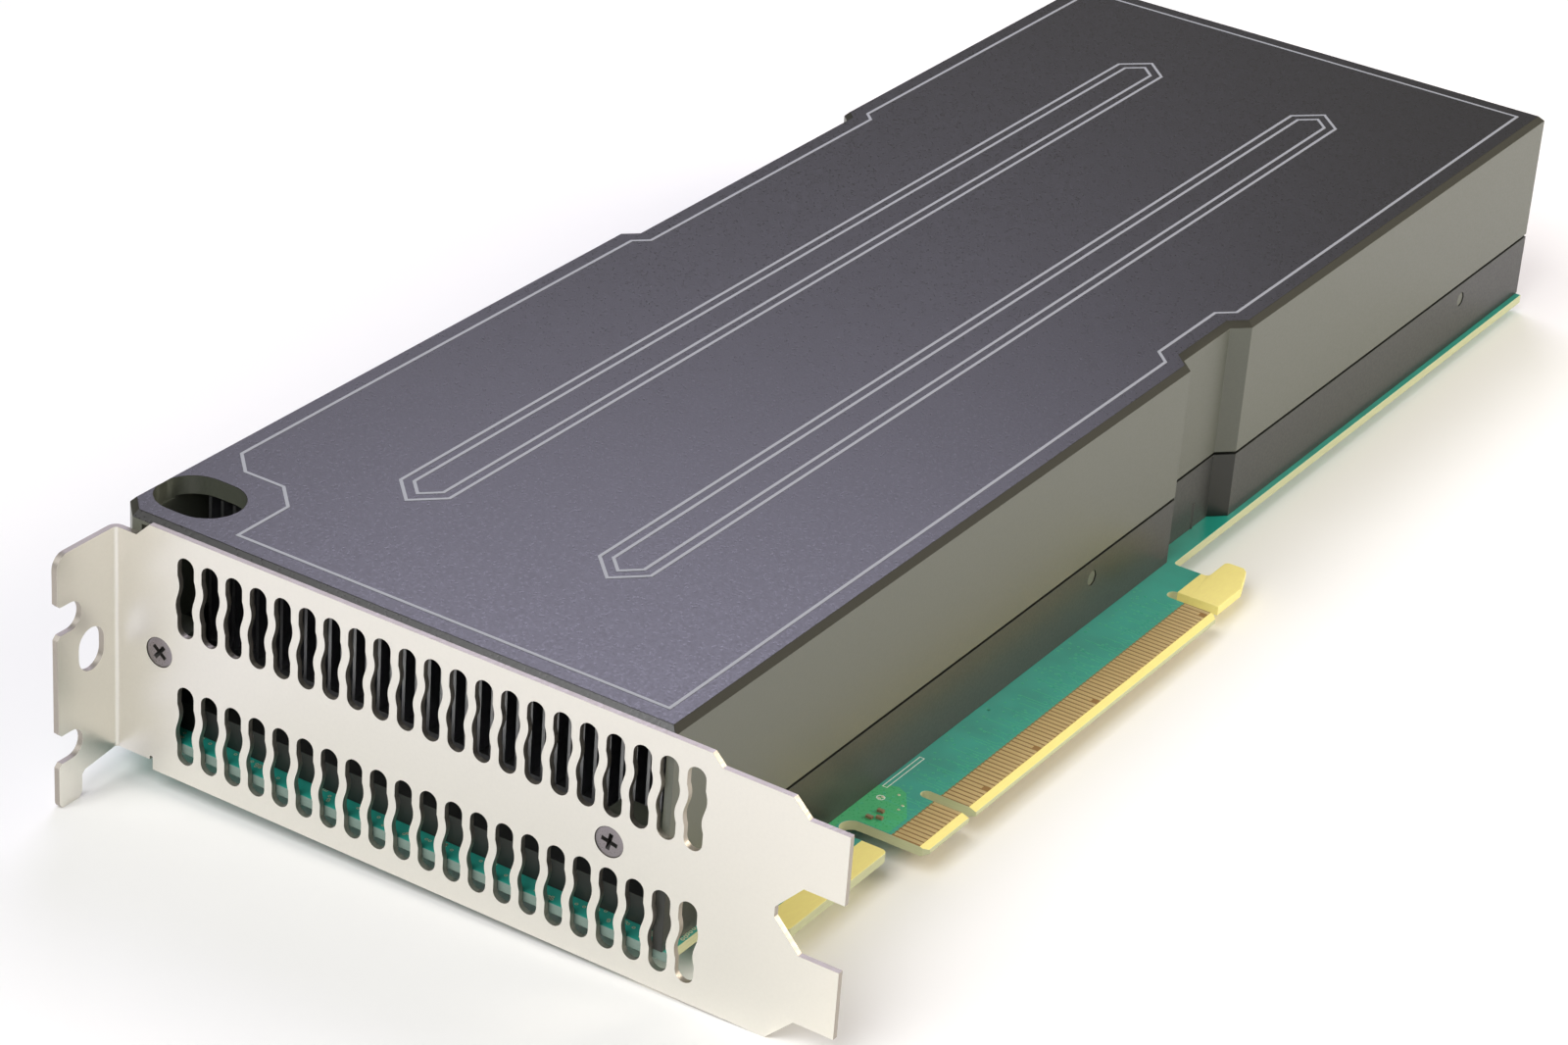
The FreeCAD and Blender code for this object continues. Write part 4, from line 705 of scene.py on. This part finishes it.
# ---- Bracket ----
@dataclass
class IoBracket:
    """The folded bracket: cut flat with its vents and notches, then folded along one line."""

    sheet: float = 0.9
    edge_round: float = 0.12
    bend_radius: float = 0.6
    bend_steps: int = 8
    flange_seat: float = 106.34
    flange_reach: float = 12.0
    slot_pitch: float = 20.32
    neck: Spot = (-3.9, 31.1)
    neck_start: float = 102.64
    shoulder: float = 2.3
    relief: tuple[float, float, float] = (99.84, 0.5, -3.3)
    vent_first: float = 9.9
    vent_pitch: float = 4.2
    vent_count: int = 21
    vent_size: Spot = (2.9, 12.45)
    vent_wave: float = 0.32
    vent_swing: float = 3.2
    wave_steps: int = 6
    screw_head: float = 2.3
    guide_hole: Spot = (5.1, 6.7)
    guide_out: float = 5.15

    @property
    def bend_start(self) -> float:
        """Where the fold begins, along the flat sheet."""
        return self.flange_seat - self.bend_radius

    @property
    def bend_length(self) -> float:
        """How much of the flat sheet the fold takes up on its inner side."""
        return self.bend_radius * pi / 2

    def outline(self) -> list[Spot]:
        """Gives the flat sheet's outline: the body with its tips, then the flange past the fold.

        Returns:
            Its corners: places along the sheet, and heights.
        """
        top = BRACKET_BOTTOM + BRACKET_HEIGHT
        tip, tip_width, upper = -13.2, 10.2, 24.17
        half, lower = tip_width / 2, upper - self.slot_pitch
        shoulder_end, shoulder_drop, valley, valley_half = -7.05, 2.5, -3.05, 0.8
        step_start, step = 7.8, 1.65
        spots = [(step_start, top), (step_start - step, top - step),
                 (shoulder_end + shoulder_drop, top - step),
                 (shoulder_end, upper + half), (tip, upper + half), (tip, upper - half),
                 (shoulder_end, upper - half), (valley, BRACKET_MIDDLE + valley_half),
                 (valley, BRACKET_MIDDLE - valley_half),
                 (shoulder_end, lower + half), (tip, lower + half), (tip, lower - half),
                 (shoulder_end, lower - half),
                 (shoulder_end + lower - half - BRACKET_BOTTOM, BRACKET_BOTTOM)]
        relief, width, depth = self.relief
        spots += [(relief, BRACKET_BOTTOM), (relief, depth), (relief + width, depth),
                  (relief + width, self.neck[0])]
        spots += self.flange_outline()
        spots += [(self.neck_start, self.neck[1]), (self.neck_start - self.shoulder, top)]
        return spots

    def flange_outline(self) -> list[Spot]:
        """Gives the flange's part of the outline.

        Returns:
            Its corners, from its lower edge round to its upper edge.
        """
        start = self.bend_start + self.bend_length
        edge = start + self.flange_reach - self.bend_radius
        foot, foot_width, foot_corner, arch, lip = -8.8, 4.7, 1.1, -4.7, 0.6
        notch, depth, upper, round_corner = 4.42 / 2, 4.9, 20.9, 2.2
        inner = edge - foot_width
        spots = [(start, self.neck[0]), (inner - lip, arch), (inner, arch - lip)]
        spots += arc((inner + foot_corner, foot + foot_corner), foot_corner, 180, 270, 5)
        spots += arc((edge - foot_corner, foot + foot_corner), foot_corner, 270, 360, 5)
        for middle in (upper - self.slot_pitch, upper):
            spots += [(edge, middle - notch - lip), (edge - lip, middle - notch)]
            spots += arc((edge - depth + notch, middle), notch, 270, 90, 12)
            spots += [(edge - lip, middle + notch), (edge, middle + notch + lip)]
        spots += arc((edge - round_corner, self.neck[1] - round_corner), round_corner, 0, 90, 8)
        return spots + [(start, self.neck[1])]

    def vent(self, along: float, height: float) -> list[Spot]:
        """Gives the outline of one wavy vent.

        Args:
            along: The place of its middle along the sheet.
            height: The height of its middle.

        Returns:
            The points of the outline.
        """
        half, straight = self.vent_size[0] / 2, (self.vent_size[1] - self.vent_size[0]) / 2
        turns = [i / self.wave_steps for i in range(-self.wave_steps, self.wave_steps + 1)]
        wave = [(-self.vent_wave * sin(pi * t), self.vent_swing * t) for t in turns]
        cap = arc((0, straight), half, 0, 180, 10)
        loop = [(half + a, b) for a, b in wave] + cap
        loop += [(a - half, b) for a, b in reversed(wave)] + [(-a, -b) for a, b in cap]
        return [(along + a, height + b) for a, b in loop]

    def holes(self) -> list[list[Spot]]:
        """Gives every hole in the flat sheet.

        Returns:
            The outlines of the vents, the screw holes and the flange's hole.
        """
        rows = (BRACKET_MIDDLE + self.slot_pitch / 2, BRACKET_MIDDLE - self.slot_pitch / 2)
        loops = [self.vent(self.vent_first + n * self.vent_pitch, row) for row in rows
                 for n in range(self.vent_count)]
        loops += [arc((y, BRACKET_MIDDLE), self.screw_head, 0, 360, 32)[:-1]
                  for y in BRACKET_SCREW_ROWS]
        width, height = self.guide_hole
        away = self.bend_start + self.bend_length + self.guide_out - self.bend_radius
        straight = (height - width) / 2
        loops.append(arc((away, BRACKET_MIDDLE + straight), width / 2, 0, 180, 14)
                     + arc((away, BRACKET_MIDDLE - straight), width / 2, 180, 360, 14))
        return loops

    def fold(self, bm: BMesh) -> None:
        """Folds the flat sheet's vertices round the bend line."""
        centre_x, centre_y = BRACKET_FACE - self.bend_radius, self.flange_seat - self.bend_radius
        for vert in bm.verts:
            depth, along, height = (c * 1000 for c in vert.co)
            radius = depth - centre_x
            past = along - self.bend_start
            if past <= 0:
                continue
            turn = min(past / self.bend_length, 1.0) * pi / 2
            run = max(past - self.bend_length, 0.0)
            vert.co = metres(centre_x + radius * cos(turn) - run, centre_y + radius * sin(turn), height)

    def build(self) -> None:
        """Cuts the blank, gives it thickness, rounds its edges and folds it."""
        bm = bmesh.new()
        loops = [self.outline()] + self.holes()
        filled(bm, [[(BRACKET_FACE, y, z) for y, z in loop] for loop in loops])
        for step in range(self.bend_steps + 1):
            split_at(bm, 1, self.bend_start + self.bend_length * step / self.bend_steps)
        made = bmesh.ops.extrude_face_region(bm, geom=bm.faces[:], use_keep_orig=True)
        moved = [item for item in made["geom"] if isinstance(item, BMVert)]
        bmesh.ops.translate(bm, verts=moved, vec=metres(self.sheet, 0, 0))
        bmesh.ops.recalc_face_normals(bm, faces=bm.faces)
        bevelled(bm, [e for e in rim_edges(bm, 60.0)
                      if abs(e.verts[0].co.x - e.verts[1].co.x) < SAME_PLACE], self.edge_round)
        bm.normal_update()
        for face in bm.faces:
            face.material_index = 0 if abs(face.normal.x) > 0.8 else 1
        self.fold(bm)
        as_piece("vented_bracket", bm, [Finishes.NICKEL_STEEL, Finishes.SHEARED_STEEL],
                 replaced=("io_bracket",))


@dataclass
class CrossScrews:
    """A set of like screws, each with a cross recess.

    Attributes:
        node: The frame's node that they stand for.
        places: Where the middle of each screw's outer face is.
        rim: Radius at which the outer face ends.
        rings: The form from the outer face inwards: depth and radius, ring by ring.
        turn: Turn from a screw along X to this set, about Y, in degrees.
        cross: The recess: how far its arms reach, half their width, and its depth.
        floor_share: How large the recess's floor is beside its mouth.
        spins: How far each screw was left turned, in degrees.
    """

    node: str
    places: list[Point]
    rim: float
    rings: list[Spot]
    turn: float = 0.0
    cross: tuple[float, float, float] = (1.3, 0.32, 0.7)
    floor_share: float = 0.45
    spins: tuple[float, ...] = (12.0, 38.0, 71.0, 25.0)

    def cross_outline(self) -> list[Spot]:
        """The outline of the recess."""
        reach, half, _ = self.cross
        quarter = [(reach, -half), (reach, half), (half, half)]
        turned = [(round(cos(turn * pi / 2)), round(sin(turn * pi / 2))) for turn in range(4)]
        return [(a * c - b * s, a * s + b * c) for c, s in turned for a, b in quarter]

    def sleeve(self, bm: BMesh, edges: list[BMEdge],
               rings: list[Spot]) -> None:
        """Extrudes a rim through rings and closes it.

        Args:
            bm: The screw's mesh.
            edges: The rim.
            rings: For each ring, its depth and its share of the rim's size.
        """
        share = 1.0
        for depth, size in rings:
            made = bmesh.ops.extrude_edge_only(bm, edges=edges)["geom"]
            verts = [item for item in made if isinstance(item, BMVert)]
            edges = [item for item in made if isinstance(item, BMEdge)
                     and all(vert in verts for vert in item.verts)]
            for vert in verts:
                vert.co = Vector((depth / 1000, vert.co.y * size / share, vert.co.z * size / share))
            share = size
        bmesh.ops.triangle_fill(bm, edges=edges, use_beauty=True)

    def screw(self) -> BMesh:
        """Makes one screw along X, its outer face's middle at the origin."""
        bm = bmesh.new()
        sunk = self.rings[0][0]
        rim = arc((0, 0), self.rim, 0, 360, 32)[:-1]
        filled(bm, [[(sunk, a, b) for a, b in loop] for loop in (rim, self.cross_outline())])
        edges = [edge for edge in bm.edges if edge.is_boundary]
        outer = [edge for edge in edges if edge.verts[0].co.yz.length > self.rim * 0.99 / 1000]
        recess = [edge for edge in edges if edge not in outer]
        # the recess faces get the dark finish: painted shade in the recess
        before = set(bm.faces)
        self.sleeve(bm, recess, [(sunk + self.cross[2], self.floor_share)])
        number_new(bm, before, 1)
        self.sleeve(bm, outer, [(depth, radius / self.rim) for depth, radius in self.rings[1:]])
        return bm

    def build(self) -> None:
        """Builds the whole set as one piece."""
        whole = bmesh.new()
        for number, place in enumerate(self.places):
            bm = self.screw()
            spin = Matrix.Rotation(radians(self.spins[number % len(self.spins)]), 4, "X")
            turned = Matrix.Rotation(radians(self.turn), 4, "Y") @ spin
            bmesh.ops.transform(bm, matrix=Matrix.Translation(metres(*place)) @ turned, verts=bm.verts)
            mesh = bpy.data.meshes.new("one_screw")
            bm.to_mesh(mesh)
            bm.free()
            whole.from_mesh(mesh)
            bpy.data.meshes.remove(mesh)
        as_piece("detailed_" + self.node, whole, [Finishes.SCREW_STEEL, Finishes.SHADED_RECESS_STEEL], 30.0,
                 (self.node,))


# ---- Solder side and far end ----
@dataclass
class Fittings:
    """What the far end and the solder side show: screws, backing plates, capacitors and connector."""

    post_offset: float = 30.0
    edge_round: float = 0.15
    can_first: Spot = (201.8, 30.1)
    can_pitch: float = 8.2
    can_count: int = 5
    can_radius: float = 3.15
    can_height: float = 5.8

    def build(self) -> None:
        """Builds every fitting."""
        self.add_screws()
        self.add_cans()
        for side in ("front", "rear"):
            self.soften(side + "_backing_plate", Finishes.SPRING_STEEL)
        self.soften("power_connector_housing", Finishes.NYLON)

    def add_screws(self) -> None:
        """Adds the bracket's flush screws, and the raised ones under the board."""
        rows = [(BRACKET_FACE, y, BRACKET_MIDDLE) for y in BRACKET_SCREW_ROWS]
        CrossScrews("bracket_screws", rows, 2.14,
                    [(0.08, 2.14), (0.11, 2.2), (0.16, 2.2), (0.9, 1.5), (0.9, 1.25), (6.0, 1.25)]).build()
        seats = [(middle + offset, y) for middle in MODULE_MIDDLES for offset in BOARD_SCREW_OFFSETS
                 for y in BOARD_SCREW_ROWS]
        self.add_raised("board_screws", seats, 2.3, 1.3)
        for side, middle in zip(("front", "rear"), MODULE_MIDDLES):
            posts = [(middle + a * self.post_offset, MODULE_ROW + b * self.post_offset)
                     for a in (-1, 1) for b in (-1, 1)]
            self.add_raised(side + "_heat_sink_screws", posts, 2.6, 1.4)

    def add_raised(self, node: str, spots: list[Spot], head: float, height: float) -> None:
        """Adds a set of screws with raised heads, driven upwards.

        Args:
            node: The frame's node that they stand for.
            spots: Where they are, in X and Y.
            head: Radius of the head.
            height: Height of the head.
        """
        low, high = (corner[2] * 1000 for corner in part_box(node))
        shank, crown = 1.25, head * 0.62
        CrossScrews(node, [(x, y, low) for x, y in spots], crown,
                    [(0.0, crown), (height * 0.2, head * 0.88), (height * 0.5, head), (height, head),
                     (height, shank), (high - low, shank)], -90.0, (head * 0.5, 0.3, height * 0.6)).build()

    def add_cans(self) -> None:
        """Adds the capacitors: a chamfered foot, a crimped can and its half-moon of ink."""
        bm = bmesh.new()
        radius, height = self.can_radius, self.can_height
        foot, neck = radius - 0.1, 1.4
        profile = [(0, 0.9), (radius - 0.3, 0.9), (radius - 0.05, 1.1), (radius - 0.05, neck),
                   (radius - 0.4, neck + 0.2), (radius - 0.05, neck + 0.5),
                   (radius - 0.05, height - 0.35), (radius - 0.35, height - 0.05), (0, height - 0.05)]
        for number in range(self.can_count):
            x, y = self.can_first[0], self.can_first[1] + number * self.can_pitch
            add_slab(bm, [(x + foot, y - foot), (x + foot, y + foot), (x - foot + 0.8, y + foot),
                          (x - foot, y + foot - 0.8), (x - foot, y - foot + 0.8),
                          (x - foot + 0.8, y - foot)], 0.0, 1.0)
            before = set(bm.faces)
            verts = [bm.verts.new(metres(x + r, y, z)) for r, z in profile]
            edges = [bm.edges.new(pair) for pair in zip(verts, verts[1:])]
            bmesh.ops.spin(bm, geom=verts + edges, cent=metres(x, y, 0), axis=(0, 0, 1),
                           angle=2 * pi, steps=32, use_merge=True, use_duplicate=False)
            number_new(bm, before, 1)
            before = set(bm.faces)
            add_slab(bm, arc((x, y), radius - 0.5, 120, 240, 12), height - 0.06, height - 0.02)
            number_new(bm, before, 2)
        bmesh.ops.remove_doubles(bm, verts=bm.verts, dist=SAME_PLACE)
        as_piece("capacitor_cans", bm, [Finishes.NYLON, Finishes.CAN_ALUMINIUM, Finishes.CAN_INK], 30.0,
                 ("bulk_capacitors",))

    def soften(self, node: str, finish: Finishes) -> None:
        """Replaces a node by a copy of it with softened edges.

        Args:
            node: The frame's node.
            finish: The copy's finish.
        """
        bm = copied_node(node)
        bevelled(bm, rim_edges(bm), self.edge_round)
        as_piece("softened_" + node, bm, [finish], 20.0, (node,))


# ---- Studio ----
@dataclass
class Studio:
    """The floor, the lamps and the camera."""

    floor_colour: str = "#f7f6f3"
    floor_reach: float = 4000.0
    tip_rest: Point = (-56.0, -2.0, BRACKET_BOTTOM)    # on the bracket's lower edge, beside its tips
    world_colour: str = "#f4f2f0"
    world_strength: float = 0.25
    camera_place: Point = (-446.83, -236.29, 313.70)
    camera_turn: Point = (61.735, -3.884, -56.727)
    lens: float = 98.21

    def build(self) -> None:
        """Builds the studio in order: floor, world, lamps, camera."""
        self.add_floor()
        self.add_world()
        self.add_lamps()
        self.add_camera()

    def add_floor(self) -> None:
        """Lays the floor under the points that the card rests on."""
        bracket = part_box("io_bracket")
        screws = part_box("rear_heat_sink_screws")
        rests = [Vector((bracket[0][0], bracket[1][1], bracket[0][2])),
                 metres(*self.tip_rest),
                 Vector((screws[1][0], screws[0][1], screws[0][2]))]
        across, along = rests[1] - rests[0], rests[2] - rests[0]
        normal = across.cross(along).normalized()
        if normal.z < 0:
            normal = -normal
        turn = Vector((0, 0, 1)).rotation_difference(normal).to_matrix().to_4x4()
        bm = bmesh.new()
        bmesh.ops.create_grid(bm, x_segments=1, y_segments=1, size=self.floor_reach / 1000)
        bmesh.ops.transform(bm, matrix=Matrix.Translation(rests[0]) @ turn, verts=bm.verts)
        mesh = bpy.data.meshes.new("floor")
        bm.to_mesh(mesh)
        bm.free()
        floor = bpy.data.objects.new("floor", mesh)
        bpy.context.scene.collection.objects.link(floor)
        material = bpy.data.materials.new("white floor")
        material.use_nodes = True
        tree = material.node_tree
        tree.nodes.clear()
        shader = add_node(tree, "ShaderNodeBsdfDiffuse", {"Color": linear(self.floor_colour)})
        add_node(tree, "ShaderNodeOutputMaterial", links={"Surface": shader.outputs["BSDF"]})
        mesh.materials.append(material)
        log.info("floor: through %s, normal %s", rests[0][:], normal[:])

    def add_world(self) -> None:
        """Sets the even light that comes from all round."""
        world = bpy.data.worlds.new("studio")
        world.use_nodes = True
        background = world.node_tree.nodes["Background"]
        background.inputs["Color"].default_value = linear(self.world_colour)
        background.inputs["Strength"].default_value = self.world_strength
        bpy.context.scene.world = world

    def add_lamps(self) -> None:
        """Hangs the soft lamps."""
        self.add_lamp("key lamp", (-700, 160, 800), (-60, 40, 0), (900, 900), 10.8, "#fcfdff")
        self.add_lamp("far lamp", (380, 310, 485), (-60, 40, 34), (320, 320), 1.4, "#e4e0ff")
        self.add_lamp("side lamp", (560, -520, 400), (120, -40, 0), (500, 400), 5.4, "#fff6e6")

    def add_lamp(self, name: str, place: Point, target: Point, size: Spot, power: float,
                 colour: str) -> None:
        """Hangs one rectangular lamp.

        Args:
            name: The lamp's name.
            place: Where it hangs.
            target: What it points at.
            size: Its width and height.
            power: Its power in watts.
            colour: sRGB hex colour.
        """
        data = bpy.data.lights.new(name, "AREA")
        data.shape = "RECTANGLE"
        data.size, data.size_y = size[0] / 1000, size[1] / 1000
        data.energy = power
        data.color = linear(colour)[:3]
        lamp = bpy.data.objects.new(name, data)
        lamp.location = metres(*place)
        aim = metres(*target) - metres(*place)
        lamp.rotation_euler = aim.to_track_quat("-Z", "Y").to_euler()
        bpy.context.scene.collection.objects.link(lamp)

    def add_camera(self) -> None:
        """Sets the camera."""
        data = bpy.data.cameras.new("camera")
        data.lens = self.lens
        data.sensor_width = 36.0
        data.clip_start = 0.01
        camera = bpy.data.objects.new("camera", data)
        camera.location = metres(*self.camera_place)
        camera.rotation_euler = [radians(a) for a in self.camera_turn]
        bpy.context.scene.collection.objects.link(camera)
        bpy.context.scene.camera = camera


def main() -> None:
    """Dresses the card and builds the studio."""
    logging.basicConfig(level=logging.INFO, format="%(name)s: %(message)s")
    bpy.context.scene.view_settings.view_transform = "Standard"
    dress_frame()
    Housing().build()
    CircuitBoard().build()
    IoBracket().build()
    Fittings().build()
    Studio().build()


if __name__ == "__main__":
    main()
